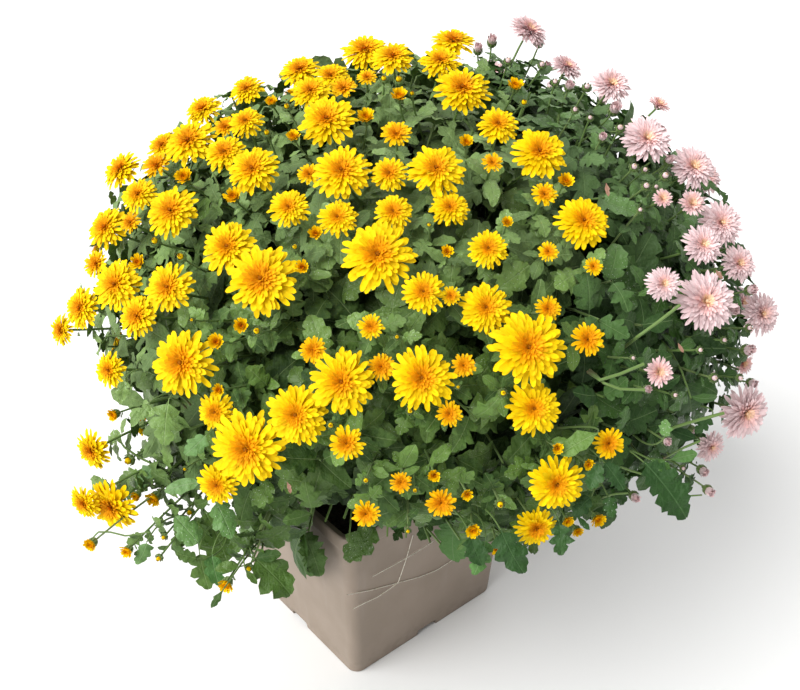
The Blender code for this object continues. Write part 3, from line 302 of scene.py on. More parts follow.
@dataclass
class Planting:
    """Works out where every flower and every spray is, by the rules that placed the solids."""

    seed: int = 11
    pink_side: Vector = Vector((0.94, -0.34, 0.0))
    parting: Vector = Vector((0.897, -0.437, -0.066))
    parting_offset: float = 0.0967
    cores: dict[Hue, Vector] = field(default_factory=lambda: {
        Hue.YELLOW: Vector((-0.025, 0.002, 0.332)), Hue.PINK: Vector((0.138, -0.046, 0.338))})
    # How much the shown flowers of each plant turn toward the eye, and the least that they face it
    to_eye: dict[Hue, tuple[float, float]] = field(default_factory=lambda: {
        Hue.YELLOW: (0.18, -0.15), Hue.PINK: (0.95, -0.30)})
    sprays: list[Spray] = field(default_factory=list)

    def pink_share(self, point: Vector) -> float:
        """Return how far a point lies on the pink plant's side of the parting."""
        return point.dot(self.parting) - self.parting_offset

    def flowers(self, table: dict[tuple[Hue, Stage], Rows]) -> list[Flower]:
        """Return the flowers that pixels of the photograph show."""
        made = []
        for (hue, stage), pixels in table.items():
            share = 0.30 if hue is Hue.YELLOW else 0.0
            for x, y, across in pixels:
                place, reach = DOME.seen_at(x, y)
                facing = (1 - share) * DOME.facing(place) + share * VIEW.toward(place) + 0.10 * UP
                made.append(Flower(place, facing.normalized(), across / 2 * reach / VIEW.focal, stage, hue))
        return made

    def hidden(self, shown: list[Flower]) -> list[Flower]:
        """Return the groups of flowers on the side that the photograph doesn't show."""
        rng = random.Random(self.seed + 1)
        rest = [DOME.point(direction) for direction in DOME.directions(240, -0.45)]
        taken = [flower.place for flower in shown]
        flowers = []
        for _ in range(10):
            rooms = [min((point - other).length for other in taken) for point in rest]
            room, best = max((room, at) for at, room in enumerate(rooms))
            if room < 0.062:
                break
            middle = rest.pop(best)
            taken.append(middle)
            outward = DOME.facing(middle)
            pink = (middle - DOME.centre).dot(self.pink_side) > 0.105
            start = rng.random() * math.tau
            for at in range(3):
                radius = rng.uniform(0.017, 0.028) * (0.9 if pink else 1.0)
                turn = Matrix.Rotation(start + at * math.tau / 3, 3, outward)
                offset = turn @ outward.orthogonal().normalized()
                spot = DOME.spot(middle + offset * radius * 1.08)
                place = DOME.point(spot.normalized(), rng.uniform(0.97, 1.01))
                facing = (DOME.facing(place) + 0.10 * UP + 0.15 * offset).normalized()
                flowers.append(Flower(place, facing, radius, Stage.OPEN, Hue.PINK if pink else Hue.YELLOW))
        return flowers

    def spread(self, flowers: list[Flower]) -> list[Flower]:
        """Move flowers that overlap apart: the smaller of a pair goes outward and deeper."""
        places = [flower.place.copy() for flower in flowers]
        for pair in 3 * [(other, at) for at in range(len(flowers)) for other in range(at)]:
            small, big = sorted(pair, key=lambda at: flowers[at].radius)
            away = places[small] - places[big]
            overlap = flowers[small].radius + flowers[big].radius - away.length
            if overlap > 0.0:
                facing = flowers[small].facing
                across = (away - facing * away.dot(facing)).normalized()
                places[small] += overlap * (0.22 * across - 0.30 * facing)
        return [replace(flower, place=place) for flower, place in zip(flowers, places)]

    def behind(self, flowers: list[Flower]) -> list[Flower]:
        """Return the single flowers and buds for which the hidden side still has room."""
        rng = random.Random(self.seed + 2)
        made: list[Flower] = []
        for direction in DOME.directions(160, -0.52):
            place = DOME.point(direction, rng.uniform(0.95, 1.0))
            radius, chance = rng.uniform(0.013, 0.024), rng.random()
            lean = Vector((rng.uniform(-1, 1), rng.uniform(-1, 1), rng.uniform(-1, 1)))
            stage = Stage.OPEN if chance <= 0.56 else Stage.HALF if chance < 0.88 else Stage.BUD
            radius = {Stage.OPEN: radius, Stage.HALF: 0.0085, Stage.BUD: 0.0055}[stage]
            crowded = any((place - f.place).length < 1.04 * (radius + f.radius) for f in flowers + made)
            if DOME.to_eye(place) > -0.06 or crowded:
                continue
            facing = (DOME.facing(place) + 0.10 * UP + 0.18 * lean).normalized()
            hue = Hue.PINK if self.pink_share(place) > 0.03 else Hue.YELLOW
            made.append(Flower(place, facing, radius, stage, hue))
        return made

    def turned(self, flower: Flower) -> Flower:
        """Turn a flower of the shown side a little more toward the eye than its solid."""
        share, least = self.to_eye[flower.hue]
        toward = VIEW.toward(flower.place)
        x, y, _ = VIEW.pixels(np.array(flower.place)[None])[0]
        if any(math.hypot(x - across, y - down) < 6.0 for across, down in SIDEWAYS):
            right, up, _ = VIEW.axes()
            facing = 0.62 * up + 0.42 * right + 0.56 * toward
        elif DOME.to_eye(flower.place) < least:
            return flower
        else:
            facing = flower.facing + share * toward
        return replace(flower, facing=facing.normalized())

    def hang(self, spray: Spray) -> None:
        """Work out the hub that carries a spray's flowers, and the way it points."""
        weight = sum(f.radius for f in spray.flowers)
        middle = sum((f.place * f.radius for f in spray.flowers), Vector()) / weight
        spot = DOME.spot(middle)
        hub = DOME.point(spot.normalized(), min(0.82, spot.length - 0.18))
        spray.hub = hub.lerp(middle, min(0.5, 3 * max(0.0, spot.length - 1.0)))
        outward = (spray.hub - self.cores[spray.hue]).normalized()
        spray.axis = (0.55 * outward + 0.45 * DOME.facing(spray.hub)).normalized()

    def arrange(self) -> None:
        """Give each flower to the node that holds it, and the small ones to the nearest spray."""
        shown = self.flowers(SHOWN)
        flowers = self.spread(shown + self.hidden(shown))
        extra = self.flowers(SMALL) + self.behind(flowers)
        for hue in Hue:
            names = [name for name in sorted(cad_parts) if name.startswith(f"spray_{hue.value}")]
            owners = [(v.co, name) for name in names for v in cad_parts[name].data.vertices]
            tree = kdtree.KDTree(len(owners))
            for at, (point, _) in enumerate(owners):
                tree.insert(point, at)
            tree.balance()
            groups: dict[str, list[Flower]] = {name: [] for name in names}
            for flower in flowers:
                if flower.hue is hue:
                    groups[owners[tree.find(flower.place)[1]][1]].append(flower)
            made = [Spray(name, hue, group) for name, group in groups.items() if group]
            for spray in made:
                self.hang(spray)
            for flower in extra:
                if flower.hue is hue:
                    min(made, key=lambda spray: (spray.hub - flower.place).length).flowers.append(flower)
            for spray in made:
                spray.flowers = [self.turned(flower) for flower in spray.flowers]
            self.sprays += made


# Materials


def linear(code: str) -> tuple[float, float, float, float]:
    """Turn an sRGB hex colour into linear values."""
    parts = [int(code[at:at + 2], 16) / 255 for at in (1, 3, 5)]
    made = [c / 12.92 if c <= 0.04045 else ((c + 0.055) / 1.055) ** 2.4 for c in parts]
    return made[0], made[1], made[2], 1.0


class Graph:
    """A material's node tree, with one way to add a node."""

    def __init__(self, name: str) -> None:
        """Start a material that holds one Principled shader."""
        self.material = bpy.data.materials.new(name)
        self.material.use_nodes = True
        self.tree = self.material.node_tree
        self.shader = self.tree.nodes["Principled BSDF"]

    def node(self, kind: str, inputs: dict | None = None, **settings: object) -> bpy.types.Node:
        """Add a node.

        Args:
            kind: The node's type without its ShaderNode prefix.
            inputs: Values, hex colours or sockets for its inputs, by name or number.
            settings: The node's own properties.

        Returns:
            The new node.
        """
        made = self.tree.nodes.new("ShaderNode" + kind)
        for key, value in settings.items():
            setattr(made, key, value)
        for key, value in (inputs or {}).items():
            self.give(made.inputs[key], value)
        return made

    def give(self, socket: bpy.types.NodeSocket, value: object) -> None:
        """Set an input to a value or a hex colour, or link it to another node's output."""
        if isinstance(value, bpy.types.NodeSocket):
            self.tree.links.new(value, socket)
        else:
            socket.default_value = linear(value) if isinstance(value, str) else value

    def math(self, operation: str, *values: object) -> object:
        """Return the output of a Math node."""
        return self.node("Math", dict(enumerate(values)), operation=operation).outputs[0]

    def times(self, one: object, two: object) -> object:
        """Return the product of two values."""
        return self.math("MULTIPLY", one, two)

    def span(self, value: object, low: float, high: float, start: float = 0.0, end: float = 1.0) -> object:
        """Return a value moved smoothly from one range to another."""
        inputs = {"Value": value, "From Min": low, "From Max": high, "To Min": start, "To Max": end}
        return self.node("MapRange", inputs, interpolation_type="SMOOTHSTEP").outputs["Result"]

    def mix(self, share: object, one: object, two: object, blend: str = "MIX") -> object:
        """Return the mixture of two colours."""
        return self.node("Mix", {0: share, 6: one, 7: two}, data_type="RGBA", blend_type=blend).outputs[2]

    def axes(self, vector: object) -> list[object]:
        """Return a vector's three parts."""
        return list(self.node("SeparateXYZ", {0: vector}).outputs)

    def place(self) -> object:
        """Return the position on the object."""
        return self.node("TexCoord").outputs["Object"]

    def detail(self) -> list[object]:
        """Return the surface's own measures: along, across, tone and a piece's own chance."""
        measures = self.node("Attribute", attribute_name="detail").outputs["Vector"]
        return self.axes(measures) + [self.node("Attribute", attribute_name="chance").outputs["Fac"]]

    def noise(self, size_mm: float, detail: float = 3.0, stretch: tuple[float, ...] = ()) -> object:
        """Return noise whose lumps are about a size in millimetres."""
        place = self.place()
        if stretch:
            place = self.node("Mapping", {"Vector": place, "Scale": stretch}).outputs[0]
        inputs = {"Vector": place, "Scale": 1000.0 / size_mm, "Detail": detail}
        return self.node("TexNoise", inputs).outputs["Fac"]

    def bump(self, height: object, strength: float, distance_mm: float) -> None:
        """Give the shader a bump from a height."""
        inputs = {"Height": height, "Strength": strength, "Distance": distance_mm / 1000}
        self.give(self.shader.inputs["Normal"], self.node("Bump", inputs).outputs[0])

    def finish(self, colour: object, roughness: object, **constants: float) -> Material:
        """Set the shader's colour, roughness and constants, and return the material."""
        self.give(self.shader.inputs["Base Color"], colour)
        self.give(self.shader.inputs["Roughness"], roughness)
        for key, value in constants.items():
            self.shader.inputs[key.replace("_", " ")].default_value = value
        return self.material


@dataclass(frozen=True)
class PetalFinish:
    """Fresh ray floret: a thin soft petal with fine veins along it, matt and faintly velvety."""

    name: str
    outer: str
    inner: str
    heart: str
    root: str
    vein_count: float = 5.0

    def make(self) -> Material:
        """Return the petals' material."""
        graph = Graph(self.name)
        along, across, tone, chance = graph.detail()
        # Petals go from the outer colour to the heart's colour toward the middle of the head
        body = graph.mix(graph.span(tone, 0.35, 0.72), self.outer, self.inner)
        body = graph.mix(graph.span(tone, 0.78, 0.98), body, self.heart)
        # The root of a petal is deeper in colour
        body = graph.mix(graph.span(along, 0.50, 0.0, 0.0, 0.70), body, self.root)
        veins = graph.math("SINE", graph.times(across, self.vein_count * math.pi))
        shade = graph.math("MULTIPLY_ADD", veins, 0.05, graph.span(chance, 0.0, 1.0, 0.86, 1.06))
        grey = graph.node("CombineXYZ", {0: shade, 1: shade, 2: shade}).outputs[0]
        graph.bump(veins, 0.25, 0.25)
        return graph.finish(graph.mix(1.0, body, grey, "MULTIPLY"), graph.span(along, 0.0, 1.0, 0.74, 0.62),
                            Specular_IOR_Level=0.12)


@dataclass(frozen=True)
class LeafFinish:
    """Chrysanthemum leaf: dull green with a grey bloom, a pale midrib and sunken side veins."""

    name: str
    dark: str
    light: str
    # Pale colour of the midrib and veins, also used for the painted sunlight
    rib_and_painted_sunlight: str
    shade: str = "#121C0C"
    speck: str = "#DDE4D6"

    def make(self) -> Material:
        """Return the leaves' material."""
        graph = Graph(self.name)
        along, across, tone, chance = graph.detail()
        place = graph.place()
        reach = graph.math("ABSOLUTE", across)
        body = graph.mix(graph.span(chance, 0.0, 1.0), self.dark, self.light)
        patch = graph.span(graph.noise(7.0), 0.36, 0.68)
        body = graph.mix(graph.times(patch, 0.30), body, self.light)
        # Side veins leave the midrib every seventh of the leaf and run forward into the lobes
        slant = graph.math("SUBTRACT", along, graph.times(reach, 0.95))
        ladder = graph.math("PINGPONG", graph.math("ADD", slant, 0.03), 0.07)
        side_vein = graph.times(graph.span(ladder, 0.010, 0.0), 0.32)
        vein = graph.math("MAXIMUM", graph.span(reach, 0.016, 0.005), side_vein)
        body = graph.mix(graph.times(vein, 0.42), body, self.rib_and_painted_sunlight)
        # Painted light and shade: leaves on the top and on the side that the key light comes from are
        # painted paler, and the lowest ones away from that side are painted darker, as if in shade
        x, y, height = graph.axes(place)
        west = graph.math("MULTIPLY_ADD", x, 0.77, graph.times(y, -0.64))
        # Painted light: the top leaves are paler
        top = graph.span(height, 0.48, 0.62, 0.0, 0.8)
        painted_sunlight = graph.math("MAXIMUM", graph.span(west, -0.08, -0.27), top)
        painted_sunlight = graph.times(painted_sunlight, graph.span(height, 0.26, 0.40, 0.0, 0.45))
        body = graph.mix(painted_sunlight, body, self.rib_and_painted_sunlight)
        # Painted shade: the lowest leaves away from the lit side are darker
        low = graph.times(graph.span(height, 0.50, 0.27, 0.0, 0.62), graph.span(west, -0.24, -0.05))
        body = graph.mix(low, body, self.dark)
        # Leaves deep in the plant get less light and stay darker
        body = graph.mix(graph.span(tone, 0.0, 1.0, 0.80, 0.0), body, self.shade)
        dots = graph.node("TexVoronoi", {"Scale": 430.0, "Vector": place}).outputs["Distance"]
        spot = graph.times(graph.span(dots, 0.16, 0.08), graph.span(chance, 0.62, 0.9))
        body = graph.mix(graph.times(spot, 0.8), body, self.speck)
        graph.bump(graph.math("MULTIPLY_ADD", vein, -0.5, patch), 0.7, 1.2)
        return graph.finish(body, graph.span(chance, 0.3, 1.0, 0.62, 0.36), Specular_IOR_Level=0.34)


@dataclass(frozen=True)
class StemFinish:
    """Green stem: ribbed along its length and downy, browner toward its woody foot."""

    name: str = "ribbed_stem"
    green: str = "#64813C"
    pale: str = "#9AA671"
    wood: str = "#6F6040"

    def make(self) -> Material:
        """Return the stems' material."""
        graph = Graph(self.name)
        along, across, _, chance = graph.detail()
        blotch = graph.span(graph.noise(5.0, 3.0, (1.0, 1.0, 0.3)), 0.3, 0.6, 0.5, 1.0)
        body = graph.mix(graph.times(graph.span(along, 0.22, 0.0), blotch), self.green, self.wood)
        body = graph.mix(graph.span(chance, 0.4, 1.0, 0.0, 0.3), body, self.pale)
        graph.bump(graph.math("SINE", graph.times(across, 6 * math.tau)), 0.4, 0.3)
        return graph.finish(body, 0.6, Sheen_Weight=0.1)


@dataclass(frozen=True)
class EyeFinish:
    """Disc florets and bud hearts: many tiny closed florets, matt, with painted shade in the gaps between
    them.
    """

    name: str
    light: str
    deep: str

    def make(self) -> Material:
        """Return the material of a flower's eye."""
        graph = Graph(self.name)
        body = graph.mix(graph.span(graph.detail()[0], 0.0, 1.0), self.deep, self.light)
        # Florets are about 0.8 mm across
        grain = graph.noise(0.8, 1.0)
        # Painted shade: the gaps between florets are darker
        body = graph.mix(graph.span(grain, 0.35, 0.65, 0.35, 0.0), body, self.deep)
        graph.bump(grain, 0.8, 0.5)
        return graph.finish(body, 0.9, Specular_IOR_Level=0.08)


@dataclass(frozen=True)
class PlanterFinish:
    """Moulded polypropylene: an even satin skin with a fine grain, dusty and lightly scuffed."""

    name: str = "moulded_polypropylene"
    skin: str = "#948577"
    dull: str = "#8D7F71"
    dust: str = "#A0948A"
    soil: str = "#6F6255"
    painted_groove_shade: str = "#453833"
    # Colour of the painted shade in the groove under the rim band
    worn: str = "#C2B8AD"

    def make(self) -> Material:
        """Return the planter's material."""
        graph = Graph(self.name)
        cloud = graph.noise(60.0, 4.0)
        body = graph.mix(graph.span(cloud, 0.35, 0.7), self.skin, self.dull)
        # Dust settles in soft upright streaks where water ran down, about 12 mm apart
        streak = graph.noise(12.0, 3.0, (1.0, 1.0, 0.12))
        body = graph.mix(graph.span(streak, 0.52, 0.82, 0.0, 0.22), body, self.dust)
        height = graph.axes(graph.place())[2]
        foot = graph.times(graph.span(height, 0.035, 0.0), graph.span(graph.noise(9.0), 0.4, 0.65))
        body = graph.mix(graph.times(foot, 0.35), body, self.soil)
        # Painted shade: a dark line in the groove under the rim band, where the rim's ledge casts its shadow
        groove = graph.math("ABSOLUTE", graph.math("SUBTRACT", height, 0.2024))
        body = graph.mix(graph.times(graph.span(groove, 0.0016, 0.0006), 0.7), body, self.painted_groove_shade)
        # Scratches are thin level bands of stretched noise
        scratch = graph.span(graph.noise(3.0, 2.0, (0.12, 0.12, 2.5)), 0.72, 0.78, 0.0, 0.22)
        body = graph.mix(scratch, body, self.worn)
        # The real grain is 0.3 mm and can't be seen at this size, so it is drawn at 0.9 mm
        graph.bump(graph.noise(0.9, 2.0), 0.18, 0.15)
        return graph.finish(body, graph.span(cloud, 0.3, 0.7, 0.52, 0.60), Specular_IOR_Level=0.40)


@dataclass(frozen=True)
class CompostFinish:
    """Damp peat compost: dark crumbs with paler fibres."""

    dark: str = "#1D1611"
    light: str = "#3D2F24"
    fibre: str = "#7A654B"

    def make(self) -> Material:
        """Return the compost's material."""
        graph = Graph("potting_compost")
        crumb = graph.noise(3.5, 6.0)
        body = graph.mix(graph.span(crumb, 0.35, 0.65), self.dark, self.light)
        fibre = graph.span(graph.noise(1.2, 2.0, (1.0, 0.2, 1.0)), 0.66, 0.74, 0.0, 0.6)
        graph.bump(crumb, 0.8, 2.0)
        return graph.finish(graph.mix(fibre, body, self.fibre), 0.92)


@dataclass(frozen=True)
class StrawFinish:
    """Dry grass stalk: pale and slightly glossy, with darker joints."""

    dull: str = "#E4DCC8"
    pale: str = "#F4EFE2"
    joint: str = "#8E7C58"

    def make(self) -> Material:
        """Return the straws' material."""
        graph = Graph("dry_straw")
        joint = graph.span(graph.math("PINGPONG", graph.detail()[0], 0.11), 0.012, 0.0)
        body = graph.mix(graph.span(graph.noise(4.0), 0.3, 0.7), self.dull, self.pale)
        return graph.finish(graph.mix(graph.times(joint, 0.6), body, self.joint), 0.45)


@dataclass(frozen=True)
class FloorFinish:
    """Plain matt studio paper, with broad and barely visible clouds."""

    pale: str = "#F7F7F6"
    dull: str = "#F4F4F3"

    def make(self) -> Material:
        """Return the floor's material."""
        graph = Graph("studio_paper")
        cloud = graph.span(graph.noise(900.0, 2.0), 0.3, 0.7)
        return graph.finish(graph.mix(cloud, self.pale, self.dull), 0.9)


def finishes() -> dict[str, Material]:
    """Return every material of the plants, by a short name."""
    made = {
        "petal_yellow": PetalFinish("ray_floret_yellow", "#FCD503", "#FAB004", "#EB9A08", "#F7AE03"),
        "petal_pink": PetalFinish("ray_floret_pink", "#F6DCDD", "#FBCFCB", "#FFD8AE", "#F7B9B4"),
        "eye_yellow": EyeFinish("disc_florets_brown", "#B06C14", "#5C3A0C"),
        "eye_pink": EyeFinish("disc_florets_green", "#F6DCBC", "#DCB48C"),
        "leaf_yellow": LeafFinish("leaf_blade_green", "#28480F", "#6E9040", "#98B074"),
        "leaf_pink": LeafFinish("leaf_blade_dark_green", "#1F400E", "#4A7030", "#7E9C62"),
        "leaf_hanging": LeafFinish("leaf_blade_speckled", "#3E6A2C", "#68904C", "#A2B98A"),
        "leaf_pale": LeafFinish("leaf_blade_dusty", "#8DAA79", "#A3BB90", "#BACDAA"),
        "leaf_dark": LeafFinish("leaf_blade_deep_green", "#1E3F14", "#3A6129", "#5F8250"),
        "leaf_withered": LeafFinish("leaf_withered_brown", "#6B4A32", "#B58A78", "#8E6A4E"),
        "stem": StemFinish(),
    }
    return {name: finish.make() for name, finish in made.items()}


# Meshes


class MeshStock:
    """Collects grids of points and turns them into one object."""

    def __init__(self) -> None:
        """Start without points, details, chances, faces and material numbers."""
        self.parts: tuple[list[Array], ...] = ([], [], [], [], [])
        self.count = 0

    def add(self, points: Array, detail: tuple | Array, chance: Array, slot: int = 0,
            closed: bool = False) -> None:
        """Add grids of one shape.

        Args:
            points: Positions, as copies by rows by columns by 3.
            detail: Along, across and tone, each one number or laid out like the points.
            chance: One number a copy.
            slot: The number of the material.
            closed: Whether the last column joins the first, as round a stem.
        """
        copies, lines, columns = shape = points.shape[:3]
        low = np.arange(lines - 1)[:, None] * columns
        column = np.arange(columns if closed else columns - 1)
        right = (column + 1) % columns
        high = low + columns
        quads = np.stack([low + column, low + right, high + right, high + column], axis=-1)
        starts = self.count + np.arange(copies)[:, None, None] * lines * columns
        faces = (quads.reshape(-1, 4)[None] + starts).reshape(-1, 4)
        details = np.stack([np.broadcast_to(value, shape) for value in detail], axis=-1)
        made = (points.reshape(-1, 3), details.reshape(-1, 3), np.repeat(chance, lines * columns), faces,
                np.full(len(faces), slot))
        for part, values in zip(self.parts, made):
            part.append(values)
        self.count += copies * lines * columns

    def build(self, name: str, *materials: Material) -> Object:
        """Return an object, with its materials in the order of their numbers, of all that was added."""
        points, details, chances, faces, slots = (np.concatenate(part) for part in self.parts)
        mesh = bpy.data.meshes.new(name)
        mesh.vertices.add(len(points))
        mesh.loops.add(faces.size)
        mesh.polygons.add(len(faces))
        mesh.attributes.new("detail", "FLOAT_VECTOR", "POINT")
        mesh.attributes.new("chance", "FLOAT", "POINT")
        for owner, key, values, kind in (
                (mesh.vertices, "co", points, np.float32), (mesh.loops, "vertex_index", faces, np.int32),
                (mesh.polygons, "loop_start", np.arange(0, faces.size, 4), np.int32),
                (mesh.polygons, "material_index", slots, np.int32),
                (mesh.polygons, "use_smooth", np.ones(len(faces)), bool),
                (mesh.attributes["detail"].data, "vector", details, np.float32),
                (mesh.attributes["chance"].data, "value", chances, np.float32)):
            owner.foreach_set(key, values.astype(kind).ravel())
        mesh.update(calc_edges=True)
        mesh.validate()
        for material in materials:
            mesh.materials.append(material)
        return add_object(name, mesh)


def bend(start: Vector, middle: Vector, end: Vector, steps: int) -> Array:
    """Return points along a curve from a start to an end, pulled toward a middle."""
    share = np.linspace(0.0, 1.0, steps + 1)[:, None]
    one, two, three = (np.array(p) for p in (start, middle, end))
    return (1 - share) ** 2 * one + 2 * share * (1 - share) * two + share ** 2 * three


def add_stem(stock: MeshStock, path: Array, radii: Array | float, sides: int, slot: int,
             chance: float) -> None:
    """Add a round stem.

    Args:
        stock: The mesh that it joins.
        path: The points along its middle.
        radii: The radius at each point, or one for all.
        sides: The number of flat sides.
        slot: The number of the material.
        chance: The stem's own chance.
    """
    tangents = np.gradient(path, axis=0)
    tangents /= np.linalg.norm(tangents, axis=1)[:, None]
    normal = np.array(Vector(tangents[0]).orthogonal().normalized())
    angles = np.arange(sides) * math.tau / sides
    rings = []
    for point, tangent, radius in zip(path, tangents, np.broadcast_to(radii, len(path))):
        normal = normal - tangent * (normal @ tangent)
        normal /= np.linalg.norm(normal)
        side = np.cross(tangent, normal)
        rings.append(point + radius * (np.cos(angles)[:, None] * normal + np.sin(angles)[:, None] * side))
    detail = (np.linspace(0.0, 1.0, len(path))[:, None], angles / math.tau, 1.0)
    stock.add(np.array(rings)[None], detail, np.array([chance]), slot, closed=True)


def add_route(stock: MeshStock, points: list[Vector], radius: float, sides: int) -> None:
    """Add a thin stalk of even radius that passes through points."""
    marks = np.arange(len(points))
    share = np.linspace(0, len(points) - 1, 4 * len(points))
    path = np.stack([np.interp(share, marks, column) for column in np.array(points).T], axis=1)
    add_stem(stock, path, radius, sides, 0, 0.5)


@dataclass(frozen=True)
class PetalRing:
    """One ring of petals; lengths are shares of the head's radius and angles are degrees."""

    count: int
    reach: float
    width: float
    rise: float
    tip_rise: float
    root: float
    lift: float
    tone: float

    def add(self, stock: MeshStock, flower: Flower, form: "HeadForm", rng: Draws) -> None:
        """Add the ring's petals to a mesh, each a little different."""
        count, radius = self.count, flower.radius
        along, breadth = form.plain if self.reach < form.plain_below else form.fine
        turn = rng.random() * math.tau
        angle = turn + (np.arange(count) + rng.uniform(-0.28, 0.28, count)) * math.tau / count
        length = ((self.reach - self.root) * radius * rng.uniform(0.86, 1.05, count))[:, None]
        rise = np.radians(self.rise + rng.normal(0.0, 4.0, count))[:, None]
        tip = np.radians(self.tip_rise + rng.normal(0.0, 6.0, count))[:, None]
        steps = np.diff(along, prepend=0.0)
        slope = rise + (tip - rise) * along
        out = self.root * radius + length * np.cumsum(np.cos(slope) * steps, axis=1)
        high = self.lift * radius + length * np.cumsum(np.sin(slope) * steps, axis=1)
        half = 0.5 * self.width * radius * rng.uniform(0.88, 1.1, count)
        half = half[:, None, None] * np.array(breadth)[:, None]
        roll = rng.normal(0.0, 0.16, count)[:, None, None]
        lifted = form.cup * half * ACROSS ** 2 + half * ACROSS * np.sin(roll)
        side = half * ACROSS * np.cos(roll)
        swing = angle[:, None] + rng.normal(0.0, 0.07, count)[:, None] * np.array(along) ** 1.5
        # The middle of the tip stands a little past its corners, which rounds the petal's end
        past = np.zeros((len(along), 3))
        past[-1, 1] = 0.05
        slope = slope[..., None]
        radial = out[..., None] + past * length[..., None] - np.sin(slope) * lifted
        height = high[..., None] + np.cos(slope) * lifted
        points = flower.around(radial, side, height, swing[..., None])
        tone = self.tone + (form.age if self.tone < 0.9 else 0.0)
        stock.add(points, (np.array(along)[:, None], ACROSS, tone), rng.random(count))


def petal_rings(text: str) -> tuple[PetalRing, ...]:
    """Return the rings of a table of their measures."""
    return tuple(PetalRing(int(count), *measures) for count, *measures in rows(text))


@dataclass(frozen=True)
class HeadForm:
    """The build of a flower head: its rings of petals, outermost first, its eye and its green cup.

    Petals have points at places along them, with a share of their breadth at each. Those of
    rings that reach farthest are fine, and the others are plain.
    """

    rings: tuple[PetalRing, ...]
    fine: tuple[tuple[float, ...], ...] = ((0.0, 0.34, 0.66, 0.88, 0.98), (0.42, 0.74, 1.0, 1.0, 0.66))
    plain: tuple[tuple[float, ...], ...] = ((0.0, 0.62, 0.97), (0.50, 1.0, 0.66))
    plain_below: float = 0.64
    cup: float = 0.30
    eye: float = 0.07
    eye_height: float = 0.20
    calyx: float = 0.24
    depth: float = 0.30
    bracts: int = 10
    age: float = 0.0

    def add_eye(self, stock: MeshStock, flower: Flower, rng: Draws) -> None:
        """Add the small dome of disc florets in the middle of the head."""
        steps = np.linspace(0.0, 1.0, 4)[:, None]
        radius = self.eye * flower.radius
        out = radius * np.cos(steps * 1.45) * (1.0 + 0.16 * rng.uniform(-1, 1, (4, 9)))
        high = self.eye_height * flower.radius + radius * 0.8 * np.sin(steps * 1.45)
        points = flower.around(out, 0.0, high, np.arange(9) * math.tau / 9)
        stock.add(points[None], (steps, 0.0, 0.0), rng.random(1), 2, closed=True)

    def add_calyx(self, stock: MeshStock, flower: Flower, rng: Draws) -> None:
        """Add the green cup under the head, with the narrow pointed bracts that press against it."""
        wide, deep = self.calyx * flower.radius, self.depth * flower.radius
        levels = np.array([-1.0, -0.82, -0.5, -0.2, 0.06])[:, None]
        widths = np.array([0.30, 0.72, 1.0, 1.04, 0.80])[:, None]
        angles = np.arange(10) * math.tau / 10
        out = np.maximum(wide * widths, 0.0013) * (1.0 + 0.07 * np.cos(5 * angles + levels * 3))
        points = flower.around(out, 0.0, levels * deep, angles)
        detail = (0.5 + 0.5 * (levels + 1.0), angles / math.tau, 0.0)
        stock.add(points[None], detail, np.array([0.6]), 1, closed=True)
        angle = (np.arange(self.bracts) * math.tau / self.bracts + rng.random())[:, None, None]
        reach, rise, narrow = (np.array(row)[:, None] for row in (
            (0.86, 1.14, 1.12), (-0.75, -0.25, 0.22), (0.26, 0.30, 0.05)))
        radial = wide * reach + 0.0006 * (1 - ACROSS ** 2)
        points = flower.around(radial, wide * narrow * ACROSS, deep * rise, angle)
        along = 0.5 + 0.5 * np.array([0.0, 0.5, 1.0])[:, None]
        stock.add(points, (along, 0.0, 0.0), np.full(self.bracts, 0.9), 1)

    def add(self, stock: MeshStock, flower: Flower, rng: Draws) -> None:
        """Add the whole head to a mesh."""
        for ring in self.rings:
            ring.add(stock, flower, self, rng)
        self.add_eye(stock, flower, rng)
        self.add_calyx(stock, flower, rng)


YELLOW_RINGS = petal_rings("""
    24 1.00 .165  8 -14 .12 .00 .00, 23 .88 .158 14 -3 .10 .03 .06, 22 .75 .148 21  6 .09 .06 .16,
    22  .62 .130 29  14 .09 .09 .34, 22 .50 .100 36 22 .08 .12 .56, 22 .40 .084 42 30 .07 .14 .74,
    20  .31 .070 48  40 .06 .16 .84, 16 .23 .058 56 52 .04 .17 .90, 10 .15 .050 68 72 .03 .17 .96""")
PINK_RINGS = petal_rings("""
    27 1.00 .145  8 -8 .10 .00 .00, 27 .93 .145 13  0 .10 .03 .06, 26 .84 .138 18  7 .09 .06 .14,
    25  .75 .130 24 15 .08 .08 .24, 23 .65 .122 30 22 .07 .10 .38, 21 .54 .112 36 29 .06 .12 .54,
    18  .43 .100 42 38 .05 .13 .70, 14 .31 .088 50 48 .04 .14 .84,  9 .20 .072 58 62 .03 .14 .95""")
YELLOW_HALF = HeadForm(petal_rings("""
    14 1.26 .36 26  58 .28 -.06 .30, 12 1.02 .32 40 82 .24 .00 .46,
    10  .76 .26 54 100 .20  .06 .70,  7  .50 .20 62 90 .10 .10 .86"""),
    cup=0.45, eye=0.20, eye_height=0.12, calyx=0.50, depth=0.80)
PINK_HALF = HeadForm(petal_rings("""
    14 1.55 .34 50 96 .40 -.16 .10, 12 1.42 .30 60 104 .32 -.06 .30, 9 1.22 .26 70 116 .22 .04 .50"""),
    cup=0.5, eye=0.30, eye_height=0.30, calyx=0.56, depth=0.80)
BUD = HeadForm(petal_rings("10 1.40 .58 50 142 .46 .00 .16, 8 1.20 .46 70 160 .34 .10 .44"),
               cup=0.5, eye=0.34, eye_height=0.48, calyx=0.80, depth=0.85)
# Heads farther back than this, along a direction by a distance, have fewer petals
FAR = (Vector((0.53, 0.73, 0.0)), 0.12)
# Open heads of a smaller radius have fewer, wider petals in deeper colours
SMALL_HEAD = 0.0155


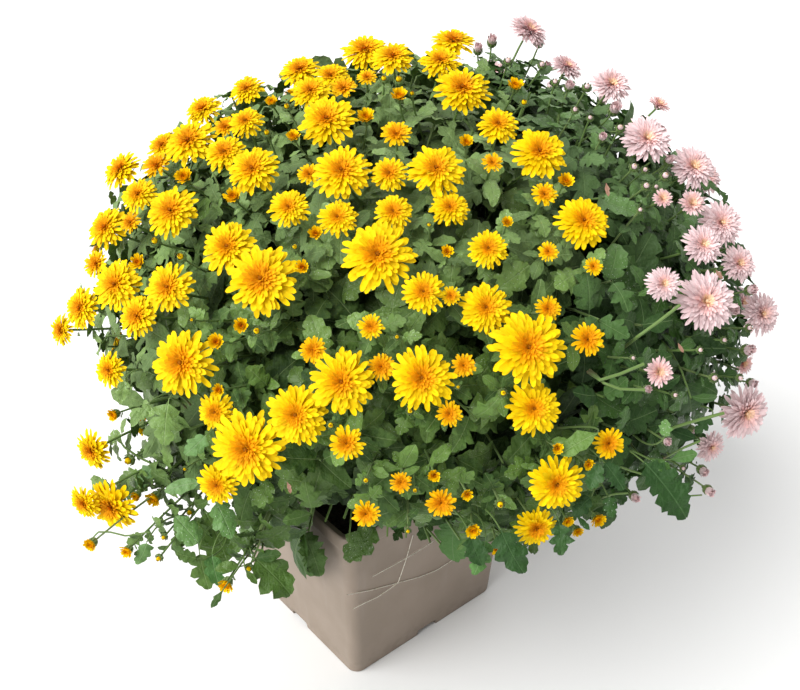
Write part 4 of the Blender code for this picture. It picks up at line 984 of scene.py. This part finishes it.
def head_form(flower: Flower, chance: float) -> HeadForm:
    """Return the build of a head, by its stage, its plant, its size and its place.

    Args:
        flower: The flower whose head it is.
        chance: The head's own chance, which ages it.

    Returns:
        The build.
    """
    pink = flower.hue is Hue.PINK
    if flower.stage is not Stage.OPEN:
        return BUD if flower.stage is Stage.BUD else PINK_HALF if pink else YELLOW_HALF
    rings = PINK_RINGS if pink else YELLOW_RINGS
    if flower.place.dot(FAR[0]) > FAR[1]:
        rings = rings[:3] + rings[4:6] + rings[7:]
    elif flower.radius < SMALL_HEAD:
        rings = tuple(
            replace(ring, count=round(ring.count * 0.74), width=ring.width * 1.16, rise=ring.rise + 12,
                    tip_rise=ring.tip_rise + 14, tone=min(0.92, ring.tone + 0.40))
            for ring in (rings[at] for at in (0, 1, 3, 4, 6, 7)))
    if pink:
        fine = (HeadForm.fine[0], (0.46, 0.74, 0.98, 0.90, 0.46))
        return HeadForm(rings, fine=fine, cup=0.42, age=0.10 * chance)
    return HeadForm(rings, age=0.16 * chance ** 2)


@dataclass(frozen=True)
class LeafForm:
    """A leaf's outline: each row is a place on the midrib, then a place and half width of the edge."""

    outline: Rows
    columns: tuple[float, ...] = (-1.0, -0.5, 0.0, 0.5, 1.0)

    def points(self, base: Array, along: Array, normal: Array, length: float, droop: float,
               rng: Draws) -> tuple[Array, Array, Array]:
        """Return the points of one leaf.

        Args:
            base: Where the leaf's stalk begins.
            along: The way the leaf starts out.
            normal: The way its upper side faces.
            length: From the base to the tip.
            droop: How far it bends down, in radians.
            rng: The source of each leaf's own small differences.

        Returns:
            The points, as rows by columns by 3, and how far along and across each is.
        """
        midrib, edge, half = (np.array(column)[:, None] for column in zip(*self.outline))
        columns = np.array(self.columns)
        reach = np.abs(columns)
        u = midrib * (1 - reach) + edge * reach
        uneven = 1.0 + rng.normal(0.0, 0.08, (len(midrib), 2))
        w = half * columns * np.where(columns < 0, uneven[:, :1], uneven[:, 1:])
        w = w * rng.uniform(0.88, 1.08)
        fold = rng.uniform(0.0, 0.60)
        wave = rng.uniform(0.03, 0.09)
        wave = wave * np.sin(u * rng.uniform(12.0, 18.0) + rng.random() * 6.0 + columns * 1.3)
        height = (fold * np.abs(w) - 1.1 * w ** 2 + wave * np.abs(w) * 3.0)[..., None]
        angle = (droop * u)[..., None]
        slack = max(droop, 0.05)
        out = (np.sin(slack * u) / slack)[..., None]
        down = ((1.0 - np.cos(slack * u)) / slack)[..., None]
        centre = base + length * (out * along - down * normal)
        facing = np.cos(angle) * normal + np.sin(angle) * along
        aside = (w + rng.normal(0.0, 0.10) * u ** 2)[..., None]
        return centre + length * (aside * np.cross(along, normal) + height * facing), u, w


NARROW = (-1.0, 0.0, 1.0)
# Broad leaf with shallow rounded lobes
BROAD = LeafForm(rows("""
    0 0 .012, .11 .10 .016, .17 .14 .150, .25 .23 .285, .32 .34 .280, .36 .37 .215, .42 .44 .300,
    .51 .57 .360, .58 .66 .295, .62 .67 .220, .70 .78 .262, .79 .87 .195, .86 .90 .140,
    .94 .98 .095, 1 1.015 .020"""))
# Leaf that is cut deep between its lobes
CUT = LeafForm(rows("""
    0 0 .012, .15 .13 .014, .21 .16 .120, .28 .25 .265, .34 .36 .250, .38 .39 .165, .42 .40 .100,
    .47 .45 .235, .55 .60 .345, .61 .68 .240, .66 .67 .135, .72 .76 .215, .80 .87 .190,
    .87 .90 .120, .94 .98 .085, 1 1.015 .015"""))
# Long leaf with sharp teeth on its lobes
TOOTHED = LeafForm(rows("""
    0 0 .014, .08 .06 .030, .13 .09 .150, .18 .15 .120, .24 .20 .235, .30 .28 .170, .36 .33 .270,
    .42 .43 .235, .46 .45 .150, .52 .50 .270, .58 .58 .215, .64 .65 .285, .70 .72 .180,
    .76 .77 .215, .82 .85 .130, .88 .90 .150, .94 .97 .075, 1 1.015 .012"""))
# Smooth-edged young leaf
OBLONG = LeafForm(rows("""
    0 0 .018, .10 .09 .040, .25 .23 .150, .42 .41 .225, .58 .58 .235, .68 .71 .200, .80 .84 .165,
    .91 .94 .100, 1 1.01 .015"""))
# Small upper leaf near the flowers
SMALL_LEAF = LeafForm(rows("""
    0 0 .020, .20 .19 .070, .34 .35 .160, .46 .50 .190, .56 .58 .140, .68 .72 .165, .84 .88 .105,
    1 1 .010"""), NARROW)


@dataclass(frozen=True)
class PlacedLeaf:
    """A leaf that the photograph shows apart from the rest, by the pixels of its base and its tip."""

    base: tuple[float, float]
    tip: tuple[float, float]
    form: LeafForm
    finish: str = ""
    # Planes just off the planter's two front faces, and the band of their rim that leaves hang over
    plane: float = -0.146
    band: tuple[float, float] = (0.165, 0.262)
    side: tuple[float, float] = (-0.15, 0.09)

    def ends(self) -> tuple[Vector, Vector]:
        """Return where the leaf begins and ends: in front of the planter, or near the dome."""
        line, tip_line = VIEW.ray(*self.base), VIEW.ray(*self.tip)
        for axis in (0, 1):
            spot = VIEW.eye + (self.plane - VIEW.eye[axis]) / line[axis] * line
            if self.band[0] < spot.z < self.band[1] and self.side[0] < spot[1 - axis] < self.side[1]:
                return spot, VIEW.eye + (self.plane - VIEW.eye[axis]) / tip_line[axis] * tip_line
        # The pale leaf hangs in front of the others
        reach = DOME.seen_at(*self.base)[1] * (0.955 if self.finish == "leaf_pale" else 0.992)
        return VIEW.eye + reach * line, VIEW.eye + reach * 0.995 * tip_line


FORMS = {"b": BROAD, "c": CUT, "t": TOOTHED, "o": OBLONG, "s": SMALL_LEAF}
FINISHES = {"-": "", "d": "leaf_dark", "h": "leaf_hanging", "p": "leaf_pale", "w": "leaf_withered"}


def placed(text: str) -> list[PlacedLeaf]:
    """Return the leaves of a table: form, finish, and the pixels of the base and the tip."""
    made = []
    for form, finish, *ends in (row.split() for row in text.split(",")):
        x, y, tip_x, tip_y = map(float, ends)
        made.append(PlacedLeaf((x, y), (tip_x, tip_y), FORMS[form], FINISHES[finish]))
    return made


PLACED: dict[Hue, list[PlacedLeaf]] = {
    Hue.YELLOW: placed("""
        b p 261 490 269 550, b h 214 500 236 534, b - 203 508 231 558, b h 201 546 177 517,
        b h 207 434 187 456, c - 169 398 160 444, o - 156 436 147 459, s - 145 406 130 426,
        b h 154 465 134 489, o h 202 482 164 486, b h 147 541 142 565, c - 199 549 204 590,
        b - 198 559 177 554, b h 212 553 214 586, o - 240 567 216 566, b - 255 531 231 551,
        o - 254 559 279 553, b - 252 556 293 590, b - 301 537 283 563, t - 304 530 322 577,
        b - 310 514 286 546, s - 245 569 256 584, s - 223 590 211 608, b - 377 522 347 561,
        b h 418 501 390 523, c - 405 525 392 537, b - 432 521 420 540, b h 457 515 443 561,
        s - 471 537 457 549, c h 486 536 480 576, b d 500 528 518 576, b d 470 534 478 566,
        c d 559 520 563 555, o - 598 433 560 449, c - 125 378 122 402, c - 150 402 138 420"""),
    Hue.PINK: placed("""
        t d 644 462 693 514, o h 670 460 697 453, o - 649 459 673 471, b h 664 438 668 421,
        b d 600 462 590 488, t d 604 462 626 488, c d 607 494 614 517, b d 592 496 572 513,
        s d 577 516 589 530, o d 697 439 672 431, c d 713 416 696 431"""),
}
WITHERED = placed("s w 287 482 292 492, s w 606 183 609 195, s w 678 343 683 352, s w 716 270 721 279")
# Stems that the photograph shows apart from the leaves: the radius, then the pixels along each
STEMS = rows("""
    .0011 116 434 124 447 140 458 166 470 186 484, .0008 86 546 98 532 110 532 126 536 150 532,
    .0015 655 436 675 427 698 420 724 413, .0011 664 458 683 448 700 441,
    .0009 600 458 621 467 632 471 645 475, .0009 598 499 614 494 628 493,
    .0008 676 492 688 496 702 495, .0014 588 372 600 380 620 374 644 364,
    .0012 590 370 604 383 620 389 645 390, .0015 618 352 640 335 658 322 680 305""")


# Where the photograph shows the planter below the leaves of its front: pixels across and down
EDGE = np.array(rows("""
    240 572, 256 556, 300 548, 315 528, 319 508, 348 508, 352 526, 380 530, 430 528, 440 536,
    500 552, 522 556""")).T


@dataclass
class Foliage:
    """Dresses one plant's stems and leaves."""

    hue: Hue
    planting: Planting
    materials: dict[str, Material]
    stems: tuple[tuple[float, float], ...] = ()
    shoot_count: int = 600
    lowest_shoot: float = -0.70
    seed: int = 5
    # Leaves nearer to the eye than this are in front of the planter
    front: float = 1.22
    # Half the side and the height of the room that the planter takes
    planter_room: tuple[float, float] = (0.1275, 0.224)
    lowest_leaf: float = 0.05
    # Above a height, no leaf stands out of the dome by more than a share
    dome_room: tuple[float, float] = (0.36, 1.03)

    def __post_init__(self) -> None:
        """Take down what the leaves must not hide or cut through."""
        flowers = [flower for spray in self.planting.sprays for flower in spray.flowers]
        self.centres = np.array([flower.place for flower in flowers])
        self.facings = np.array([flower.facing for flower in flowers])
        self.radii = np.array([flower.radius for flower in flowers])
        self.seen = VIEW.pixels(self.centres)
        self.shown = np.array([DOME.to_eye(flower.place) > -0.08 for flower in flowers])
        self.core = self.planting.cores[self.hue]
        self.rng = np.random.default_rng(self.seed + len(self.hue.value))
        self.stock = MeshStock()
        self.leaves: dict[tuple[LeafForm, str], list[tuple[Array, Array, float]]] = {}

    def blocked(self, points: Array) -> bool:
        """Tell whether a leaf would cut through the planter, leave the dome or cover a flower."""
        flat = points.reshape(-1, 3)
        level = flat[:, 2]
        half, rim = self.planter_room
        cuts = (np.abs(flat[:, :2]).max(axis=1) < half) & (level < rim)
        if cuts.any() or (level < self.lowest_leaf).any():
            return True
        away = flat[:, None] - self.centres[None]
        height = np.einsum("nfk,fk->nf", away, self.facings)
        near = np.sqrt(np.maximum((away ** 2).sum(-1) - height ** 2, 0.0))
        over = (near < 0.92 * self.radii) & (height > -0.22 * self.radii) & (height < 0.05)
        above, most = self.dome_room
        beyond = (((flat - np.array(DOME.centre)) / np.array(DOME.size)) ** 2).sum(axis=1) > most
        x, y, depth = VIEW.pixels(flat).T[..., None]
        bare = (x > EDGE[0, 0]) & (x < EDGE[0, -1]) & (depth < self.front) & (y > np.interp(x, *EDGE))
        apart = np.hypot(x - self.seen[:, 0], y - self.seen[:, 1])
        hides = self.shown & (depth < self.seen[:, 2] + 0.004)
        hides &= apart < 0.80 * self.radii * VIEW.focal / self.seen[:, 2]
        return bool(over.any() or (beyond & (level > above)).any() or bare.any() or hides.any())

    def try_leaf(self, form: LeafForm, base: Array, along: Array, up: Array, length: float, droop: float,
                 tone: float, finish: str = "", always: bool = False) -> bool:
        """Add a leaf where there is room for it, or always.

        Args:
            form: The leaf's form, which gets fewer columns where there is little light.
            base: Where it begins.
            along: The way it points.
            up: About the way its upper side faces.
            length: From the base to the tip.
            droop: How far it bends down, in radians.
            tone: How much light it gets.
            finish: Its finish, or nothing for the plant's own.
            always: Whether it grows even where it covers something.

        Returns:
            Whether it was added.
        """
        along = along / np.linalg.norm(along)
        normal = up - along * (up @ along)
        normal /= np.linalg.norm(normal)
        if tone < 0.62:
            form = replace(form, columns=NARROW)
        points, u, w = form.points(base, along, normal, length, droop, self.rng)
        if not always and self.blocked(points[1::2]):
            return False
        leaf = (points, np.stack([u, w, np.full_like(u, tone)]), float(self.rng.random()))
        self.leaves.setdefault((form, finish or f"leaf_{self.hue.value}"), []).append(leaf)
        return True

    def place(self, leaf: PlacedLeaf) -> None:
        """Add a leaf that the photograph shows apart from the rest, on a stalk from the plant."""
        base, tip = leaf.ends()
        along = tip - base
        toward = VIEW.toward(base) + 0.45 * UP
        self.try_leaf(leaf.form, np.array(base), np.array(along), np.array(toward), along.length * 1.03,
                      0.35, 1.0, leaf.finish, always=True)
        if leaf.finish == "leaf_withered":
            return
        rim = base.z < leaf.band[1]
        inside = base.lerp(self.core, 0.45 if rim else 0.16)
        inside.z = max(inside.z, base.z + 0.01, 0.236) if rim else inside.z - 0.01
        start = base - 0.02 * along.normalized() + 0.012 * (inside - base).normalized()
        start.z = max(start.z, base.z) if rim else start.z
        path = bend(inside, start, base + 0.04 * along, 8)
        add_stem(self.stock, path, np.linspace(0.0011, 0.0006, 9), 5, 0, 0.2)

    def whorl(self, path: Array, count: int, spacing: tuple[float, float], sizes: tuple[float, float],
              forms: tuple[LeafForm, ...], last_tone: float = 0.25, first: float = 0.003) -> None:
        """Add leaves round a stem, from its tip down, in the spiral that the plant grows them in.

        Args:
            path: The stem's points, from its foot to its tip.
            count: The most leaves.
            spacing: The first step down the stem, and how much each step grows.
            sizes: The length of the leaf at the tip and of the lowest one.
            forms: The leaf forms to draw from.
            last_tone: How much light the last leaf gets, where the first gets all.
            first: How far below the tip the first leaf grows.
        """
        lengths = np.linalg.norm(np.diff(path, axis=0), axis=1)
        total = lengths.sum()
        travelled = np.concatenate([[0.0], np.cumsum(lengths)])
        turn = self.rng.random() * math.tau
        outward = DOME.facing(Vector(path[-1]))
        back = first
        for at in range(count):
            place = total - back
            if place < 0.12 * total:
                break
            step = min(int(np.searchsorted(travelled, place)), len(path) - 1)
            share = (place - travelled[step - 1]) / lengths[step - 1]
            base = path[step - 1] + share * (path[step] - path[step - 1])
            axis = Vector(path[step] - path[step - 1]).normalized()
            depth = at / max(1, count - 1)
            for attempt in range(5):
                angle = turn + at * GOLDEN + attempt * 1.3
                out = Matrix.Rotation(angle, 3, axis) @ axis.orthogonal().normalized()
                lift = (1.15 - 1.0 * depth) * self.rng.uniform(0.7, 1.2)
                length = float(self.rng.uniform(0.85, 1.18)) * (sizes[0] + (sizes[1] - sizes[0]) * depth)
                droop = float(self.rng.uniform(0.4, 1.2))
                form = forms[int(self.rng.integers(len(forms)))]
                up = np.array(axis + 0.35 * UP + 0.25 * outward)
                tone = 1.0 + (last_tone - 1.0) * depth
                if self.try_leaf(form, base, np.array(out + lift * axis), up, length, droop, tone):
                    break
            back += spacing[0] + spacing[1] * at

    def shoot(self, start: Vector, tip: Vector) -> None:
        """Add one leafy shoot that arches from the heart of the plant to a tip."""
        outward = DOME.facing(tip)
        sway = 0.8 * UP - 0.6 * outward + 1.5 * Vector(self.rng.normal(size=3))
        path = bend(start, start.lerp(tip, 0.5) + 0.10 * (tip - start).length * sway, tip, 10)
        add_stem(self.stock, path, np.linspace(0.0022, 0.0011, 11), 4, 0, float(self.rng.random()))
        forms = (BROAD, BROAD, CUT, OBLONG)
        self.whorl(path, 6, (0.006, 0.0045), (0.028, 0.060), forms)
        # Leaves of the inside face every way, so no side of the plant can be seen through
        for share in self.rng.uniform(0.48, 0.84, 2):
            along = self.rng.normal(size=3) + 0.6 * np.array(outward)
            length = float(self.rng.uniform(0.045, 0.068))
            self.try_leaf(forms[int(4 * share) % 4], path[int(10 * share)], along,
                          self.rng.normal(size=3), length, 0.6, 0.25 + 0.35 * share)

    def dress_spray(self, spray: Spray) -> None:
        """Add the branch below a spray, with leaves round its hub and small ones on its stalks."""
        hub, axis = spray.hub, spray.axis
        self.shoot(self.core, hub - axis * 0.028)
        stem = bend(hub - axis * 0.05, hub - axis * 0.02, hub + axis * 0.004, 6)
        self.whorl(stem, 6, (0.003, 0.001), (0.026, 0.046), (BROAD, CUT), 0.6)
        for flower in spray.flowers:
            path = spray.stalk(flower)
            is_open = flower.stage is Stage.OPEN
            small = (0.011, 0.022) if is_open else (0.007, 0.017)
            self.whorl(path, 3, (0.009, 0.002), small, (SMALL_LEAF,), 0.9, 0.004 + 0.15 * flower.radius)
            first = 0.016 + 0.25 * flower.radius
            reach = float(np.linalg.norm(np.diff(path, axis=0), axis=1).sum())
            large = (0.024, 0.046) if is_open else (0.018, 0.036)
            count = int(max(0.0, reach - first) / 0.009)
            self.whorl(path, count, (0.008, 0.0008), large, (BROAD, CUT, OBLONG), 0.5, first)

    def fill(self) -> None:
        """Add shoots all over the plant's part of the dome, thinner where no edge of it is seen."""
        own = 1.0 if self.hue is Hue.PINK else -1.0
        for at, direction in enumerate(DOME.directions(self.shoot_count, self.lowest_shoot)):
            surface = DOME.point(direction)
            thin = at % 3 == 2 and not -0.45 < DOME.to_eye(surface) < 0.25
            if self.planting.pink_share(surface) * own < 0.0 or thin:
                continue
            room = float((np.linalg.norm(self.centres - np.array(surface), axis=1) - self.radii).min())
            share = self.rng.uniform(*((0.82, 0.89) if room < 0.012 else (0.90, 0.97)))
            start = self.core.lerp(surface, 0.12)
            start.z = max(start.z, 0.25)
            self.shoot(start, DOME.point(direction, float(share)))

    def make(self) -> list[Object]:
        """Return the plant's stems and leaves as pieces that stand for its foliage node."""
        for x, y in self.stems:
            middle = self.core.lerp(Vector((x, y, self.core.z)), 0.5)
            path = bend(Vector((x, y, 0.160)), Vector((x, y, 0.250)), middle, 8)
            add_stem(self.stock, path, np.linspace(0.0042, 0.0036, 9), 8, 0, 0.1)
        for spray in self.planting.sprays:
            if spray.hue is self.hue:
                self.dress_spray(spray)
        self.fill()
        for leaf in PLACED[self.hue]:
            self.place(leaf)
        if self.hue is Hue.YELLOW:
            for radius, *pixels in STEMS:
                route = list(zip(pixels[::2], pixels[1::2]))
                reach = DOME.seen_at(*route[len(route) // 2])[1]
                # A stem's first point is deeper in the plant
                points = [VIEW.eye + reach * (0.998 if at else 1.05) * VIEW.ray(*pixel)
                          for at, pixel in enumerate(route)]
                add_route(self.stock, points, radius, 6)
            for leaf in WITHERED:
                self.place(leaf)
        name = self.hue.value
        pieces = [self.stock.build(f"stems_{name}", self.materials["stem"])]
        for number, ((_, finish), made) in enumerate(self.leaves.items(), 1):
            points, details, chances = (np.array(part) for part in zip(*made))
            blades = MeshStock()
            blades.add(points, details.swapaxes(0, 1), chances)
            pieces.append(blades.build(f"leaves_{name}_{number:02d}", self.materials[finish]))
        return [hand_in(piece, f"foliage_{name}") for piece in pieces]


@dataclass
class SprayPiece:
    """Dresses one spray: its heads and buds, their stalks and the short stem below."""

    spray: Spray
    materials: dict[str, Material]
    stalk: float = 0.0012
    stem: float = 0.0022

    def make(self, seed: int) -> Object:
        """Return the spray's piece, which stands for its node."""
        rng = np.random.default_rng(seed)
        stock = MeshStock()
        hub, axis = self.spray.hub, self.spray.axis
        path = np.array([hub - axis * 0.030, hub - axis * 0.012, hub + axis * 0.002])
        add_stem(stock, path, np.array([self.stem, self.stem, self.stem * 0.9]), 6, 1, rng.random())
        for flower in self.spray.flowers:
            thin = 1.0 if flower.stage is Stage.OPEN else 0.75
            radii = np.linspace(self.stalk * 1.15, self.stalk * thin, 7)
            add_stem(stock, self.spray.stalk(flower), radii, 5, 1, rng.random())
            head_form(flower, rng.random()).add(stock, flower, rng)
        names = (f"petal_{self.spray.hue.value}", "stem", f"eye_{self.spray.hue.value}")
        piece = stock.build(f"heads_{self.spray.node}", *(self.materials[name] for name in names))
        return hand_in(piece, self.spray.node)


@dataclass
class Planter:
    """The moulded square planter: walls with a slight taper, a rim band and drain notches."""

    material: Material
    base_side: float = 0.220
    top_side: float = 0.243
    rim_side: float = 0.250
    height: float = 0.222
    rim_height: float = 0.019
    corner: float = 0.013
    rim_corner: float = 0.018
    wall: float = 0.003
    floor: float = 0.004
    corner_steps: int = 10
    notch: tuple[float, float, float] = (0.022, 0.030, 0.008)

    def ring(self, bm: bmesh.types.BMesh, side: float, corner: float, level: float) -> list:
        """Return the points of a square with rounded corners."""
        flat = side / 2 - corner
        made = []
        for quarter, (x, y) in enumerate(((flat, flat), (-flat, flat), (-flat, -flat), (flat, -flat))):
            for step in range(self.corner_steps + 1):
                angle = (quarter + step / self.corner_steps) * math.pi / 2
                turn = Vector((math.cos(angle), math.sin(angle), 0.0))
                made.append(bm.verts.new(Vector((x, y, level)) + corner * turn))
        return made

    def item(self, name: str, bm: bmesh.types.BMesh) -> Object:
        """Turn a bmesh into an object."""
        bmesh.ops.recalc_face_normals(bm, faces=bm.faces)
        mesh = bpy.data.meshes.new(name)
        bm.to_mesh(mesh)
        bm.free()
        mesh.materials.append(self.material)
        return add_object(name, mesh)

    def box(self, size: tuple[float, float, float], place: tuple[float, float, float], quarter: int,
            bevel: float) -> Object:
        """Return a box with softened edges, turned to one of the planter's sides."""
        bm = bmesh.new()
        bmesh.ops.create_cube(bm, size=1.0)
        bmesh.ops.scale(bm, vec=size, verts=bm.verts)
        bmesh.ops.bevel(bm, geom=bm.edges, offset=bevel, segments=2, affect="EDGES")
        bmesh.ops.translate(bm, vec=place, verts=bm.verts)
        turn = Matrix.Rotation(quarter * math.pi / 2, 3, "Z")
        bmesh.ops.rotate(bm, cent=(0, 0, 0), matrix=turn, verts=bm.verts)
        return self.item("tool", bm)

    def boolean(self, item: Object, tools: list[Object], operation: str) -> None:
        """Join or cut the planter with tools, and remove them."""
        for tool in tools:
            modifier = item.modifiers.new("cut", "BOOLEAN")
            modifier.operation = operation
            modifier.object = tool
            modifier.solver = "EXACT"
        graph = bpy.context.evaluated_depsgraph_get()
        mesh = bpy.data.meshes.new_from_object(item.evaluated_get(graph))
        item.modifiers.clear()
        item.data = mesh
        for tool in tools:
            bpy.data.objects.remove(tool, do_unlink=True)

    def shell(self) -> Object:
        """Return the walls, lathed square from the foot up over the rim and down to the floor."""
        base, top, rim, high = self.base_side, self.top_side, self.rim_side, self.height
        under = high - self.rim_height
        corner, lip, inner = self.corner, self.rim_corner, self.corner - self.wall
        profile = (
            (base - 0.004, corner - 0.002, 0.0), (base - 0.001, corner, 0.0008), (base, corner, 0.0030),
            (top - 0.0006, corner, under - 0.006), (top, corner, under - 0.0012),
            (top + 0.0006, corner, under), (rim - 0.0022, lip, under + 0.0002),
            (rim - 0.0008, lip, under + 0.0012),
            (rim - 0.0004, lip, under + 0.003), (rim, lip, high - 0.004), (rim - 0.0006, lip, high - 0.0014),
            (rim - 0.0028, lip, high - 0.0001), (rim - 0.006, lip - 0.002, high),
            (rim - 0.0135, corner - 0.001, high - 0.0002), (rim - 0.0152, inner, high - 0.0014),
            (rim - 0.0158, inner, under + 0.002), (top - 2 * self.wall, inner, under - 0.003),
            (base - 2 * self.wall, inner, self.floor))
        bm = bmesh.new()
        rings = [self.ring(bm, *row) for row in profile]
        for low, above in zip(rings, rings[1:]):
            for at in range(len(low)):
                after = (at + 1) % len(low)
                bm.faces.new((low[at], low[after], above[after], above[at]))
        bm.faces.new(rings[0][::-1])
        bm.faces.new(rings[-1])
        return self.item("planter_moulding", bm)

    def make(self) -> Object:
        """Return the planter's piece."""
        piece = self.shell()
        deep, wide, tall = self.notch
        edge = self.base_side / 2
        size = (deep + self.wall, wide + 2 * self.wall, tall + self.wall)
        place = (edge - self.wall / 2 - size[0] / 2, 0.0, size[2] / 2 + 0.0004)
        cut = (deep + 0.01, wide, tall * 2)
        self.boolean(piece, [self.box(size, place, quarter, 0.0004) for quarter in range(4)], "UNION")
        cuts = [self.box(cut, (edge - deep + cut[0] / 2, 0.0, 0.0), quarter, 0.0015) for quarter in range(4)]
        self.boolean(piece, cuts, "DIFFERENCE")
        piece.data.shade_smooth()
        piece.data.set_sharp_from_angle(angle=math.radians(38))
        return hand_in(piece, "planter")


@dataclass
class Compost:
    """The potting compost: a crumbly surface just below the rim."""

    material: Material
    side: float = 0.2345
    top: float = 0.196
    cells: int = 44
    seed: int = 3

    def make(self) -> Object:
        """Return the compost's piece."""
        line = np.linspace(-1.0, 1.0, self.cells + 1)
        x, y = np.meshgrid(line, line, indexing="ij")
        # Corners are drawn in so that the sheet follows the planter's rounded inside
        reach = 0.5 * self.side * (1.0 - 0.045 * (x ** 2 * y ** 2) ** 2)
        lumps = np.random.default_rng(self.seed).normal(0.0, 1.0, x.shape)
        for _ in range(2):
            lumps = 0.5 * lumps + 0.125 * sum(np.roll(lumps, s, a) for s in (1, -1) for a in (0, 1))
        z = self.top + 0.0035 * (1 - x ** 2) * (1 - y ** 2) + 0.0022 * lumps
        skirt = np.maximum(abs(x), abs(y)) > 0.999
        points = np.stack([x * reach, y * reach, np.where(skirt, self.top - 0.012, z)], axis=-1)
        stock = MeshStock()
        stock.add(points[None], (0.0, 0.0, 0.0), np.zeros(1))
        return hand_in(stock.build("compost", self.material), "soil")


@dataclass
class Straws:
    """Thin dry grass stalks that lie against the planter's right face."""

    material: Material
    # Pixels of the photograph along each stalk
    routes: Rows = rows("""
        347 595 372 590 398 583 420 577 437 570 465 552, 353 609 365 603 378 597 398 583 406 560 413 535,
        372 577 396 564 415 553 434 541""")
    radius: float = 0.00045

    def make(self) -> Object:
        """Return the stalks' piece."""
        stock = MeshStock()
        for at, route in enumerate(self.routes):
            points = []
            for pixel in zip(route[::2], route[1::2]):
                line = VIEW.ray(*pixel)
                # The face leans out from the base to the rim
                level = (VIEW.eye + (-0.116 - VIEW.eye.y) / line.y * line).z
                face = -(0.110 + 0.0115 * min(1.0, max(0.0, level / 0.203))) - 0.0012 * (1 + at)
                face -= 0.005 if level > 0.198 else 0.0
                points.append(VIEW.eye + (face - VIEW.eye.y) / line.y * line)
            add_route(stock, points, self.radius, 5)
        return hand_in(stock.build("dry_straws", self.material))


@dataclass
class Studio:
    """Plain pale floor, soft light and the camera of the photograph."""

    sky: float = 0.33
    key: float = 4.1
    fill: float = 1.35
    floor_side: float = 60.0

    def lamp(self, name: str, strength: float, soft: float, toward: Vector) -> None:
        """Add a soft lamp, wide by an angle in degrees, that shines one way."""
        data = bpy.data.lights.new(name, "SUN")
        data.energy = strength
        data.angle = math.radians(soft)
        add_object(name, data).rotation_euler = toward.to_track_quat("-Z", "Y").to_euler()

    def make(self) -> None:
        """Set the floor, the lights and the camera."""
        half = self.floor_side / 2
        mesh = bpy.data.meshes.new("floor")
        corners = [(-half, -half, 0), (half, -half, 0), (-half, half, 0), (half, half, 0)]
        mesh.from_pydata(corners, [], [(0, 1, 3, 2)])
        mesh.materials.append(FloorFinish().make())
        add_object("floor", mesh)
        world = bpy.data.worlds.new("studio")
        world.use_nodes = True
        sky = world.node_tree.nodes["Background"].inputs
        sky[0].default_value, sky[1].default_value = (1.0, 1.0, 1.0, 1.0), self.sky
        bpy.context.scene.world = world
        self.lamp("key", self.key, 54.0, Vector((0.82, -0.10, -0.74)))
        self.lamp("fill", self.fill, 80.0, Vector((-0.66, -0.36, -0.78)))
        bpy.context.scene.view_settings.view_transform = "Standard"
        VIEW.add_camera()


def main() -> None:
    """Dress every part of the object in order, and report each piece."""
    logging.basicConfig(level=logging.INFO, format="%(message)s")
    planting = Planting()
    planting.arrange()
    materials = finishes()
    pieces = [Planter(PlanterFinish().make()).make(), Compost(CompostFinish().make()).make(),
              Straws(StrawFinish().make()).make()]
    pieces += [SprayPiece(spray, materials).make(100 + at) for at, spray in enumerate(planting.sprays)]
    stems = {Hue.YELLOW: ((-0.050, 0.040), (-0.045, -0.045), (0.020, 0.055), (0.018, -0.040)),
             Hue.PINK: ((0.101, -0.066), (0.088, -0.094))}
    for hue in Hue:
        pieces += Foliage(hue, planting, materials, stems[hue]).make()
    for piece in pieces:
        LOG.info("%s: %d triangles", piece.name, sum(len(face.vertices) - 2 for face in piece.data.polygons))
    Studio().make()


if __name__ == "__main__":
    main()
